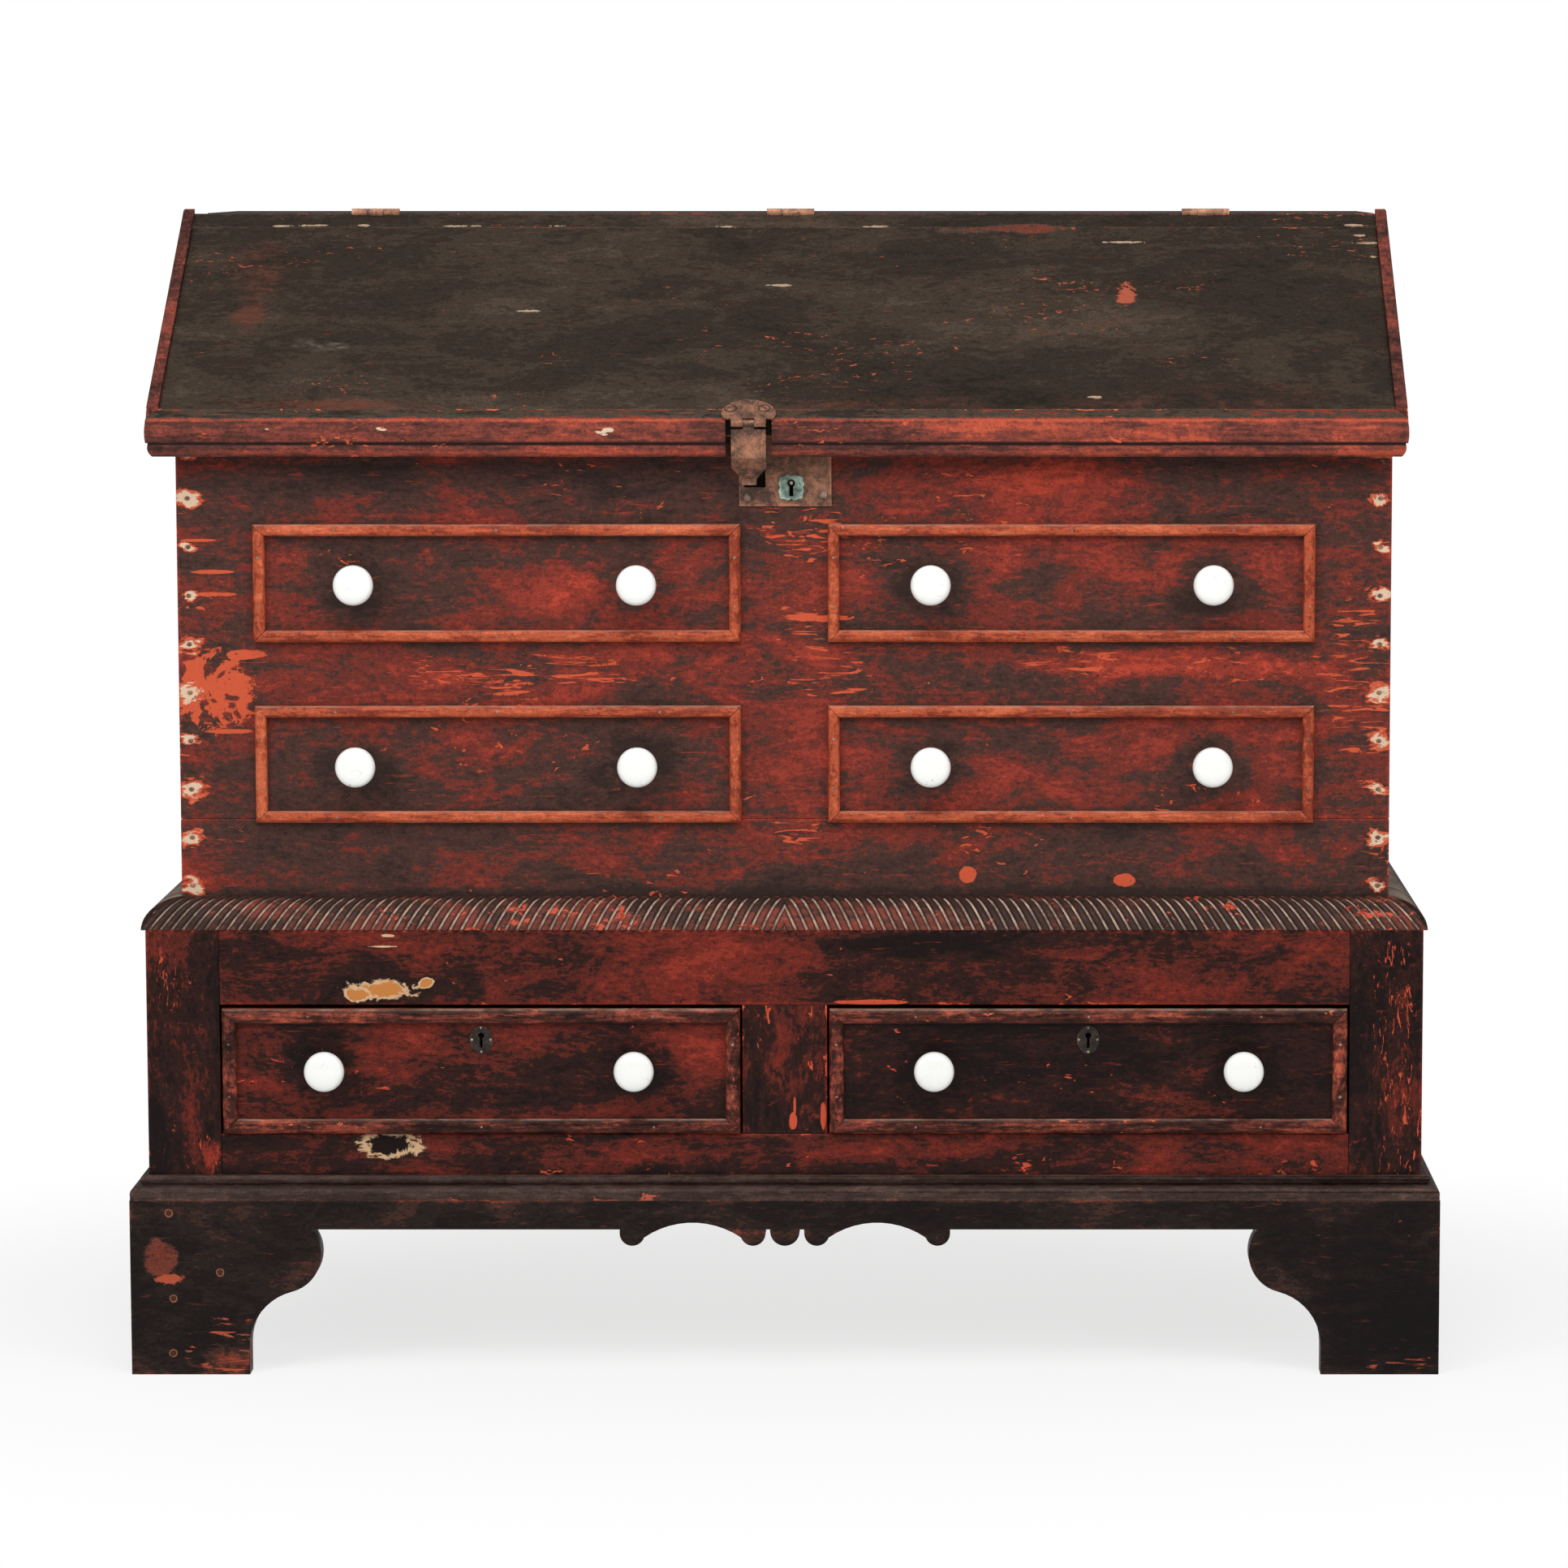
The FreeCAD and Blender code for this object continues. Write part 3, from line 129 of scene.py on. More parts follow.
class Tree:
    """A node tree that nodes are added to and joined in few words."""

    def __init__(self, tree: bpy.types.NodeTree) -> None:
        """Takes the tree that is filled."""
        self.tree = tree

    def node(self, kind: str, inputs: Optional[dict] = None, **settings: object) -> bpy.types.Node:
        """Adds a node.

        Args:
            kind: the node's type name, without the ShaderNode it starts with.
            inputs: sockets, numbers or rows of numbers for its inputs, by name or place.
            settings: properties to set on it.

        Returns:
            The new node.
        """
        made = self.tree.nodes.new("ShaderNode" + kind)
        for name, value in settings.items():
            setattr(made, name, value)
        for key, value in (inputs or {}).items():
            if isinstance(value, Socket):
                self.tree.links.new(value, made.inputs[key])
            else:
                made.inputs[key].default_value = value
        return made

    def place(self) -> Socket:
        """Gives the point on the object."""
        return self.node("TexCoord").outputs["Object"]

    def parts(self, vector: Socket) -> list[Socket]:
        """Splits a vector into X, Y and Z."""
        return self.node("SeparateXYZ", {0: vector}).outputs[:]

    def turned(self, vector: Input, scale: Point = (1, 1, 1), shift: Point = (0, 0, 0)) -> Socket:
        """Stretches and shifts a point along each axis."""
        return self.node("Mapping", {"Vector": vector, "Scale": scale, "Location": shift}).outputs[0]

    def noise(self, vector: Input, scale: Input, detail: float = 4.0, rough: float = 0.6,
              warp: float = 0.0) -> Socket:
        """Adds a cloudy noise from 0 to 1.

        Args:
            vector: the point.
            scale: clouds per metre.
            detail: how many finer layers.
            rough: how strong the finer layers are.
            warp: how far the clouds are pulled about.

        Returns:
            The noise value.
        """
        return self.node("TexNoise", {"Vector": vector, "Scale": scale, "Detail": detail,
                                      "Roughness": rough, "Distortion": warp}).outputs["Fac"]

    def sum(self, operation: str, *values: Input) -> Socket:
        """Adds one step of arithmetic."""
        return self.node("Math", dict(enumerate(values)), operation=operation).outputs[0]

    def vector(self, operation: str, *values: Input) -> Socket:
        """Adds one step of vector arithmetic, whose result may be a number."""
        made = self.node("VectorMath", dict(enumerate(values)), operation=operation)
        return made.outputs["Value" if operation in ("LENGTH", "DOT_PRODUCT") else "Vector"]

    def span(self, value: Input, low: Input, high: Input, start: Input = 0.0, end: Input = 1.0,
             smooth: bool = True) -> Socket:
        """Carries a value from one range to another, held at both ends.

        Args:
            value: the value.
            low: where the range starts.
            high: where it ends.
            start: the result at low.
            end: the result at high.
            smooth: eased at both ends where true.

        Returns:
            The mapped value.
        """
        return self.node("MapRange", dict(enumerate((value, low, high, start, end))),
                         interpolation_type="SMOOTHSTEP" if smooth else "LINEAR").outputs[0]

    def blend(self, amount: Input, under: Input, over: Input, kind: str = "MIX") -> Socket:
        """Lays so much of one colour over another."""
        return self.node("Mix", {0: amount, 6: under, 7: over}, data_type="RGBA",
                         blend_type=kind).outputs[2]

    def ramp(self, amount: Input, *stops: tuple[float, Colour]) -> Socket:
        """Turns a value into a colour.

        Args:
            amount: the value.
            stops: places from 0 to 1 and their colours.

        Returns:
            The colour.
        """
        made = self.node("ValToRGB", {0: amount})
        band = made.color_ramp.elements
        for index, (at, colour) in enumerate(stops):
            stop = band[index] if index < 2 else band.new(at)
            stop.position = at
            stop.color = colour
        return made.outputs["Color"]

    def group(self, effect: bpy.types.NodeTree, **inputs: Input) -> bpy.types.bpy_prop_collection:
        """Places a shared effect and gives its outputs."""
        return self.node("Group", inputs, node_tree=effect).outputs


class Effects:
    """The effects that several finishes share, each one node group."""

    _made: dict[str, bpy.types.NodeTree] = {}

    @classmethod
    def _group(cls, name: str, vectors: Sequence[str], values: Sequence[str],
               fill: Callable[..., dict[str, Socket]]) -> bpy.types.NodeTree:
        """Makes a node group once.

        Args:
            name: the group's name.
            vectors: names of its vector inputs.
            values: names of its value inputs, which follow them.
            fill: takes the tree and the inputs, adds the nodes and gives the value outputs.

        Returns:
            The group.
        """
        if name not in cls._made:
            group = bpy.data.node_groups.new(name, "ShaderNodeTree")
            for kind, labels in (("NodeSocketVector", vectors), ("NodeSocketFloat", values)):
                for label in labels:
                    group.interface.new_socket(name=label, in_out="INPUT", socket_type=kind)
            into = group.nodes.new("NodeGroupInput")
            results = fill(Tree(group), *(into.outputs[label] for label in (*vectors, *values)))
            for label in results:
                group.interface.new_socket(name=label, in_out="OUTPUT", socket_type="NodeSocketFloat")
            out = group.nodes.new("NodeGroupOutput")
            for label, result in results.items():
                group.links.new(result, out.inputs[label])
            cls._made[name] = group
        return cls._made[name]

    @classmethod
    def old_paint(cls) -> bpy.types.NodeTree:
        """Worn paint: Tone goes from grime to bright, Fine is the grain, Speck pits, Scratch thin lines.

        Returns:
            The group; Point is already stretched along the grain and Flat isn't.
        """
        def fill(t: Tree, point: Socket, flat: Socket, *weights: Socket) -> dict[str, Socket]:
            """Adds the clouds, patches, rubbing and streaks, then the scratches and pits.

            Args:
                t: the group's tree.
                point: the point, stretched along the grain.
                flat: the point as it is.
                weights: how strong the clouds, patches, rubbing and streaks are.

            Returns:
                The outputs by name.
            """
            rubbed = t.noise(t.turned(point, shift=(3.1, 1.7, 5.3)), 230.0, 7.0, 0.8, 0.3)
            layers = (t.noise(point, 9.0, 6.0, 0.62, 0.6), t.noise(point, 30.0, 9.0, 0.72, 0.7), rubbed,
                      t.noise(t.turned(point, (0.30, 1.6, 1.6)), 190.0, 4.0, 0.65))
            tone = total = 0.0
            for layer, weight in zip(layers, weights):
                tone = t.sum("MULTIPLY_ADD", layer, weight, tone)
                total = t.sum("ADD", total, weight)
            grit = t.noise(flat, 430.0, 4.0, 0.7)
            pits = t.noise(t.turned(point, (2.2, 1.0, 1.0), (9.0, 2.0, 4.0)), 330.0, 2.0, 0.6)
            lines = t.noise(t.turned(point, (0.22, 1.0, 1.0), (1.0, 6.0, 2.0)), 330.0, 3.0, 0.6, 0.3)
            return {"Tone": t.span(t.sum("DIVIDE", tone, total), 0.37, 0.63, smooth=False),
                    "Fine": t.sum("MULTIPLY_ADD", rubbed, 0.4, t.sum("MULTIPLY", grit, 0.6)),
                    "Speck": t.span(pits, 0.66, 0.72),
                    "Scratch": t.span(lines, 0.645, 0.675)}
        return cls._group("old_paint", ("Point", "Flat"), ("Cloud", "Patch", "Rub", "Streak"), fill)

    @classmethod
    def chips(cls) -> bpy.types.NodeTree:
        """Small sharp losses in clusters.

        Returns:
            The group, with Chip as the loss and Rim as the step round it.
        """
        def fill(t: Tree, point: Socket, scale: Socket, amount: Socket) -> dict[str, Socket]:
            """Adds the losses and thins them out by a slow cloud.

            Args:
                t: the group's tree.
                point: the point, stretched along the grain.
                scale: losses per metre.
                amount: how much paint is lost.

            Returns:
                The outputs by name.
            """
            where = t.noise(t.turned(point, shift=(4.0, 8.0, 1.0)), 14.0, 3.0, 0.6)
            level = t.sum("MULTIPLY_ADD", t.span(where, 0.46, 0.68), 0.13,
                          t.noise(point, scale, 5.0, 0.58, 0.9))
            past = t.sum("SUBTRACT", level, t.sum("SUBTRACT", 0.86, amount))
            return {"Chip": t.span(past, 0.0, 0.015), "Rim": t.span(past, -0.04, 0.0)}
        return cls._group("chips", ("Point",), ("Scale", "Amount"), fill)

    @classmethod
    def edge_wear(cls) -> bpy.types.NodeTree:
        """Wear that grows towards a board's edges.

        Returns:
            The group, with Wear from 0 inside to 1 at the edges of its box.
        """
        def fill(t: Tree, point: Socket, low: Socket, high: Socket, reach: Socket) -> dict[str, Socket]:
            """Takes the middle one of the three distances to the box.

            Args:
                t: the group's tree.
                point: the point.
                low: the box's lowest corner.
                high: its highest corner.
                reach: how far the wear goes in from an edge.

            Returns:
                The outputs by name.
            """
            x, y, z = t.parts(t.vector("MINIMUM", t.vector("SUBTRACT", point, low),
                                       t.vector("SUBTRACT", high, point)))
            middle = t.sum("MAXIMUM", t.sum("MINIMUM", x, y),
                           t.sum("MINIMUM", t.sum("MAXIMUM", x, y), z))
            ragged = t.span(t.noise(point, 45.0, 6.0, 0.7), 0.35, 0.7, 0.1, 1.6)
            return {"Wear": t.span(middle, 0.0, t.sum("MULTIPLY", reach, ragged), 1.0, 0.0)}
        return cls._group("edge_wear", ("Point", "Low", "High"), ("Reach",), fill)

    @classmethod
    def settled_dust(cls) -> bpy.types.NodeTree:
        """Dust that lies on the faces that look up.

        Returns:
            The group, with Dust from 0 to Amount.
        """
        def fill(t: Tree, point: Socket, facing: Socket, amount: Socket) -> dict[str, Socket]:
            """Picks the faces that look up and breaks the dust with noise.

            Args:
                t: the group's tree.
                point: the point.
                facing: the way the surface looks.
                amount: how thick the dust lies.

            Returns:
                The outputs by name.
            """
            lying = t.span(t.parts(facing)[2], 0.62, 0.97)
            broken = t.span(t.noise(point, 55.0, 5.0, 0.65), 0.36, 0.62, 0.25, 1.0)
            return {"Dust": t.sum("MULTIPLY", t.sum("MULTIPLY", lying, broken), amount)}
        return cls._group("settled_dust", ("Point", "Facing"), ("Amount",), fill)

    @classmethod
    def ragged_spot(cls) -> bpy.types.NodeTree:
        """One loss or stain at a known place.

        Returns:
            The group, with Spot from 0 outside to 1 inside, and Core for its middle.
        """
        def fill(t: Tree, point: Socket, centre: Socket, radii: Socket, tear: Socket, noise: Socket,
                 soft: Socket) -> dict[str, Socket]:
            """Adds an oval whose border is torn by noise.

            Args:
                t: the group's tree.
                point: the point.
                centre: the oval's middle.
                radii: its half sizes.
                tear: how far its border is torn.
                noise: the noise that tears it.
                soft: how soft its border is.

            Returns:
                The outputs by name.
            """
            away = t.vector("DIVIDE", t.vector("SUBTRACT", point, centre), radii)
            torn = t.sum("MULTIPLY", t.sum("SUBTRACT", noise, 0.5), tear)
            length = t.sum("ADD", t.vector("LENGTH", away), torn)
            return {"Spot": t.span(length, t.sum("SUBTRACT", 1.0, soft), 1.0, 1.0, 0.0),
                    "Core": t.span(length, 0.62, 0.74, 1.0, 0.0)}
        return cls._group("ragged_spot", ("Point", "Centre", "Radii"), ("Tear", "Noise", "Soft"), fill)

    @classmethod
    def nail_rings(cls) -> bpy.types.NodeTree:
        """Bare rings round an evenly spaced column of nails on both sides.

        Returns:
            The group, with Ring for bare wood, Fringe for fresh paint round it and Pit for the hole.
        """
        def fill(t: Tree, point: Socket, column: Socket, first: Socket,
                 spacing: Socket) -> dict[str, Socket]:
            """Finds the nearest nail and measures the way to it.

            Args:
                t: the group's tree.
                point: the point.
                column: how far the nails stand from the middle.
                first: the height of the lowest nail.
                spacing: the way from one nail to the next.

            Returns:
                The outputs by name.
            """
            x, _, z = t.parts(point)
            rise = t.sum("SUBTRACT", z, first)
            row = t.sum("ROUND", t.sum("DIVIDE", rise, spacing))
            across = t.sum("SUBTRACT", t.sum("ABSOLUTE", x), column)
            up = t.sum("SUBTRACT", rise, t.sum("MULTIPLY", row, spacing))
            way = t.node("CombineXYZ", {0: t.sum("MULTIPLY", across, 0.75), 2: up}).outputs[0]
            length = t.vector("LENGTH", way)
            nail = t.node("CombineXYZ", {0: row, 1: t.sum("SIGN", x)}).outputs[0]
            luck = t.node("TexWhiteNoise", {"Vector": nail}, noise_dimensions="2D").outputs["Value"]
            size = t.span(luck, 0.0, 1.0, 0.0030, 0.0078, smooth=False)
            tear = t.noise(t.turned(point, Grain.ACROSS.value), 150.0, 4.0, 0.65, 0.5)
            torn = t.sum("MULTIPLY_ADD", t.sum("SUBTRACT", tear, 0.5), 0.026, length)
            share = t.sum("DIVIDE", torn, size)
            return {"Ring": t.span(share, 0.7, 1.0, 1.0, 0.0),
                    "Fringe": t.span(share, 1.2, 1.45, 1.0, 0.0),
                    "Pit": t.span(length, 0.0012, 0.0026, 0.8, 0.0)}
        return cls._group("nail_rings", ("Point",), ("Column", "First", "Spacing"), fill)


@dataclass(frozen=True)
class Spot:
    """A loss or stain at a known place: a lift of the tone, or a clean loss of paint."""

    centre: Point
    radii: Point
    lift: float = 0.0
    loss: Optional[Loss] = None
    tear: float = 1.0
    soft: float = 0.35
    broken: Break = Break.WHOLE
    core: Optional[Colour] = None


def on_face(y: float, rows: Iterable[Row], deep: float = 0.05, **kind: object) -> list[Spot]:
    """Places spots on an upright face.

    Args:
        y: where the face lies.
        rows: x, z, half width, half height, tear and softness, and a lift where the spot is a stain.
        deep: how far the spots reach into the face.
        kind: what the spots have in common, such as their loss.

    Returns:
        The spots.
    """
    return [Spot((x, y, z), (wide, deep, tall), *lift, tear=tear, soft=soft, **kind)
            for x, z, wide, tall, tear, soft, *lift in rows]


def on_lid(x: float, down: float, radii: Point, loss: Optional[Loss], tear: float, soft: float,
           lift: float = 0.0) -> Spot:
    """Places a spot on the slope of the lid.

    Args:
        x: its place along the lid.
        down: how far it lies down the slope from the lid's top edge.
        radii: its half sizes.
        loss: what shows there, or None for a stain.
        tear: how torn its border is.
        soft: how soft its border is.
        lift: how much brighter a stain is.

    Returns:
        The spot.
    """
    _, y, z = LID_TOP
    place = (x, y - down * math.cos(LID_SLOPE), z - down * math.sin(LID_SLOPE))
    return Spot(place, radii, lift, loss, tear, soft)


@dataclass(frozen=True)
class Skin:
    """The painted face of a board: a point on it, its outward direction and how deep paint goes."""

    point: Point
    outward: Point
    depth: float


@dataclass(frozen=True)
class Crown:
    """A face of a board that has another paint: the face, and that paint's three tones."""

    face: Skin
    dark: Colour
    body: Colour
    worn: Colour


@dataclass(frozen=True)
class NailColumn:
    """Evenly spaced nails near both upright edges of the front."""

    column: float = 0.5187
    first: float = 0.4262
    spacing: float = 0.0424
    count: int = 10


class Surface(Tree):
    """The tree of a new material."""

    def __init__(self, name: str) -> None:
        """Makes the material and finds the point on the object.

        Args:
            name: the material's name.
        """
        self.material = bpy.data.materials.new(name)
        self.material.use_nodes = True
        self.material.node_tree.nodes.clear()
        super().__init__(self.material.node_tree)
        self.point = self.place()

    def wear(self, box: tuple[Vector, Vector], reach: float) -> Socket:
        """Gives the wear towards the edges of a box."""
        return self.group(Effects.edge_wear(), Point=self.point, Low=tuple(box[0]), High=tuple(box[1]),
                          Reach=reach)["Wear"]

    def spot(self, spot: Spot, border: Socket) -> bpy.types.bpy_prop_collection:
        """Gives the masks of a spot whose border a noise tears."""
        return self.group(Effects.ragged_spot(), Point=self.point, Centre=spot.centre, Radii=spot.radii,
                          Tear=spot.tear, Noise=border, Soft=spot.soft)

    def height(self, face: Skin) -> Socket:
        """Gives how far a point stands out from a face."""
        return self.vector("DOT_PRODUCT", self.vector("SUBTRACT", self.point, face.point), face.outward)

    def finished(self, colour: Input, rough: Input, relief: Input, depth: float, **more: float) -> Material:
        """Feeds the shader.

        Args:
            colour: the base colour.
            rough: the roughness.
            relief: the relief from 0 to 1.
            depth: what 1 of the relief stands for, in metres.
            more: plain values for the shader's other inputs.

        Returns:
            The material.
        """
        relief = self.node("Bump", {"Strength": 1.0, "Distance": depth, "Height": relief})
        shader = self.node("BsdfPrincipled", {"Base Color": colour, "Roughness": rough,
                                              "Normal": relief.outputs["Normal"], **more})
        self.node("OutputMaterial", {0: shader.outputs[0]})
        return self.material


@dataclass(frozen=True)
class BareWood:
    """Old unpainted wood, brown with age; each seam is a height and how much paler its board is."""

    pale: Colour = shade(176, 138, 98)
    dark: Colour = shade(112, 78, 50)
    grime: Colour = shade(88, 64, 46)
    gap: Colour = shade(20, 14, 10)
    seams: Sequence[tuple[float, float]] = ()

    def colour(self, made: Surface, grain: Grain) -> tuple[Socket, Socket]:
        """Adds the wood's pattern to a material.

        Args:
            made: the material's tree.
            grain: the way the grain runs.

        Returns:
            The colour and the relief.
        """
        along = made.turned(made.point, grain.along(0.1125))
        rings = made.noise(along, 38.0, 3.0, 0.5, 1.2)
        pores = made.noise(along, 420.0, 4.0, 0.6)
        tone = made.sum("MULTIPLY_ADD", pores, 0.45, made.sum("MULTIPLY", rings, 0.55))
        return made.ramp(tone, (0.32, self.dark), (0.66, self.pale)), tone

    def material(self, name: str, grain: Grain) -> Material:
        """Makes the finish.

        Args:
            name: the material's name.
            grain: the way the grain runs.

        Returns:
            The material.
        """
        made = Surface(name)
        colour, tone = self.colour(made, grain)
        streaks = made.noise(made.turned(made.point, grain.along(0.225), (0.4, 0.9, 0.2)),
                             13.0, 9.0, 0.72, 0.4)
        colour = made.blend(made.span(streaks, 0.42, 0.70, 0.0, 0.6), colour, self.grime)
        up = made.parts(made.point)[2]
        for seam, paler in self.seams:
            above = made.sum("MULTIPLY", made.sum("GREATER_THAN", up, seam), abs(paler))
            colour = made.blend(above, colour, self.pale if paler > 0 else self.dark)
            away = made.sum("ABSOLUTE", made.sum("SUBTRACT", up, seam))
            colour = made.blend(made.span(away, 0.0006, 0.0016, 0.92, 0.0), colour, self.gap)
        return made.finished(colour, made.span(tone, 0.3, 0.7, 0.67, 0.85), tone, 0.0006)


@dataclass(frozen=True)
class OldPaint:
    """Red or dark paint, rubbed and grimed by long use."""

    grime: Colour
    deep: Colour
    body: Colour
    rubbed: Colour
    bright: Colour
    fresh: Colour
    wood: Colour
    balance: float = 0.0
    contrast: float = 1.0
    cloud: float = 0.32
    patch: float = 0.36
    rub: float = 0.24
    streak: float = 0.06
    chip_amount: float = 0.13
    chip_scale: float = 150.0
    edge_reach: float = 0.004
    edge_lift: float = 0.3
    edge_chips: float = 0.10
    dust: float = 0.0
    middle: float = 0.45
    fine: float = 0.9
    scratch: float = 0.55
    chip_rim: float = 0.35
    speck: float = 0.75
    speck_depth: float = 0.35
    loss_depth: float = 0.45
    loss_rough: float = 0.22
    bare_rough: float = 0.25
    bare_relief: float = 0.5
    satin: float = 0.42
    sheen: float = 0.12
    relief: float = 0.0005

    def losses(self, made: Surface, spots: Iterable[Spot], grain: Grain, border: Socket,
               tone: Socket) -> list[tuple[Spot, Socket, Socket]]:
        """Adds the masks of the spots where paint is lost.

        Args:
            made: the material's tree.
            spots: losses and stains at known places.
            grain: the way the grain runs.
            border: the noise that tears their borders.
            tone: the paint's own tone, which thins out red and dust.

        Returns:
            Each loss with its mask and the mask of its middle.
        """
        found = []
        for spot in spots:
            if spot.loss is None:
                continue
            torn = made.spot(spot, border)
            mask = torn["Spot"]
            if spot.broken is not Break.WHOLE:
                stretch, scale, level = spot.broken.value
                flakes = made.noise(made.turned(made.point, grain.along(stretch), (0.2, 0, 0.6)),
                                    scale, 4.0, 0.6, 1.2)
                mask = made.sum("MULTIPLY", mask, made.span(flakes, level - 0.01, level + 0.01))
            if spot.loss in (Loss.THIN_RED, Loss.DUST):
                mask = made.sum("MULTIPLY", mask, made.span(tone, 0.25, 0.8, 0.0, 0.55))
            found.append((spot, mask, torn["Core"]))
        return found

    def coat(self, made: Surface, tone: Socket, crown: Optional[Crown]) -> Socket:
        """Colours the whole paint by its tone.

        Args:
            made: the material's tree.
            tone: the tone, from grime to bright.
            crown: a face with another paint.

        Returns:
            The colour.
        """
        colour = made.ramp(tone, (0.12, self.grime), (0.34, self.deep), (0.47, self.deep),
                           (0.51, self.body), (0.67, self.body), (0.71, self.rubbed),
                           (0.88, self.rubbed), (0.95, self.bright))
        if crown is None:
            return colour
        other = made.ramp(tone, (0.30, crown.dark), (0.52, crown.body), (0.68, crown.body),
                          (0.86, crown.worn))
        depth = crown.face.depth
        return made.blend(made.span(made.height(crown.face), -depth, -0.3 * depth), colour, other)

    def material(self, name: str, box: tuple[Vector, Vector], grain: Grain,
                 spots: Sequence[Spot] = (), skin: Optional[Skin] = None,
                 nails: Optional[NailColumn] = None, seed: float = 0.0, balance: float = 0.0,
                 crown: Optional[Crown] = None) -> Material:
        """Makes the finish for one board.

        Args:
            name: the material's name.
            box: the board's lowest and highest corner.
            grain: the way the grain runs.
            spots: losses and stains at known places.
            skin: the painted face, where the inside is bare.
            nails: a column of nails with bare rings.
            seed: shifts the pattern, so that boards differ.
            balance: makes this board redder or darker than the finish is.
            crown: a face with another paint.

        Returns:
            The material.
        """
        made = Surface(name)
        point = made.point
        along = made.turned(point, grain.value, (seed, 0.7 * seed, 1.3 * seed))
        paint = made.group(Effects.old_paint(), Point=along, Flat=point, Cloud=self.cloud,
                           Patch=self.patch, Rub=self.rub, Streak=self.streak)
        wear = made.wear(box, self.edge_reach)
        border = made.noise(made.turned(point, grain.along(0.63)), 70.0, 8.0, 0.76, 0.8)
        tone = made.sum("MULTIPLY_ADD", made.sum("SUBTRACT", paint["Tone"], 0.5), self.contrast,
                        self.middle + self.balance + balance)
        for stain in (spot for spot in spots if spot.loss is None):
            tone = made.sum("MULTIPLY_ADD", made.spot(stain, border)["Spot"], stain.lift, tone)
        tone = made.sum("MULTIPLY_ADD", wear, self.edge_lift, tone)
        colour = self.coat(made, tone, crown)
        fine = made.ramp(paint["Fine"], (0.32, (0.26, 0.25, 0.25, 1)), (0.5, (0.5, 0.5, 0.5, 1)),
                         (0.68, (0.72, 0.72, 0.71, 1)))
        colour = made.blend(self.fine, colour, fine, "OVERLAY")
        scratch = made.sum("MULTIPLY", paint["Scratch"], made.span(border, 0.40, 0.62))
        colour = made.blend(made.sum("MULTIPLY", scratch, self.scratch), colour, self.bright)
        chips = made.group(Effects.chips(), Scale=self.chip_scale,
                           Point=made.turned(point, grain.along(0.405), (seed, seed, seed)),
                           Amount=made.sum("MULTIPLY_ADD", wear, self.edge_chips, self.chip_amount))
        lost = chips["Chip"]
        colour = made.blend(made.sum("MULTIPLY", chips["Rim"], self.chip_rim), colour, self.grime)
        colour = made.blend(lost, colour, self.fresh)
        shown = {Loss.FRESH_RED: self.fresh, Loss.BARE_WOOD: self.wood, Loss.THIN_RED: self.bright,
                 Loss.DUST: shade(148, 138, 122)}
        for spot, mask, core in self.losses(made, spots, grain, border, paint["Tone"]):
            colour = made.blend(mask, colour, shown[spot.loss])
            if spot.core is not None:
                colour = made.blend(core, colour, spot.core)
            if spot.loss in (Loss.FRESH_RED, Loss.BARE_WOOD):
                lost = made.sum("MAXIMUM", lost, mask)
        if nails is not None:
            rings = made.group(Effects.nail_rings(), Point=point, Column=nails.column, First=nails.first,
                               Spacing=nails.spacing)
            for part, under in (("Fringe", self.fresh), ("Ring", self.wood), ("Pit", shade(96, 82, 70))):
                colour = made.blend(rings[part], colour, under)
            lost = made.sum("MAXIMUM", lost, rings["Ring"])
        colour = made.blend(made.sum("MULTIPLY", paint["Speck"], self.speck), colour, self.grime)
        if self.dust > 0:
            facing = made.node("NewGeometry").outputs["Normal"]
            settled = made.group(Effects.settled_dust(), Point=point, Facing=facing, Amount=self.dust)
            colour = made.blend(settled["Dust"], colour, shade(170, 148, 130))
        rough = made.span(tone, 0.0, 1.0, self.satin - 0.08, self.satin + 0.16)
        rough = made.sum("MULTIPLY_ADD", lost, self.loss_rough, rough)
        relief = made.sum("SUBTRACT", paint["Fine"], made.sum("MULTIPLY", lost, self.loss_depth))
        relief = made.sum("MULTIPLY_ADD", paint["Speck"], -self.speck_depth, relief)
        if skin is not None:
            pale, pores = BareWood().colour(made, grain)
            inside = made.span(made.height(skin), -skin.depth - 0.0007, -skin.depth, 1.0, 0.0)
            colour = made.blend(inside, colour, pale)
            rough = made.sum("MULTIPLY_ADD", inside, self.bare_rough, rough)
            relief = made.sum("MULTIPLY_ADD", made.sum("MULTIPLY", pores, inside), self.bare_relief, relief)
        return made.finished(colour, rough, relief, self.relief, **{"Specular IOR Level": self.sheen})


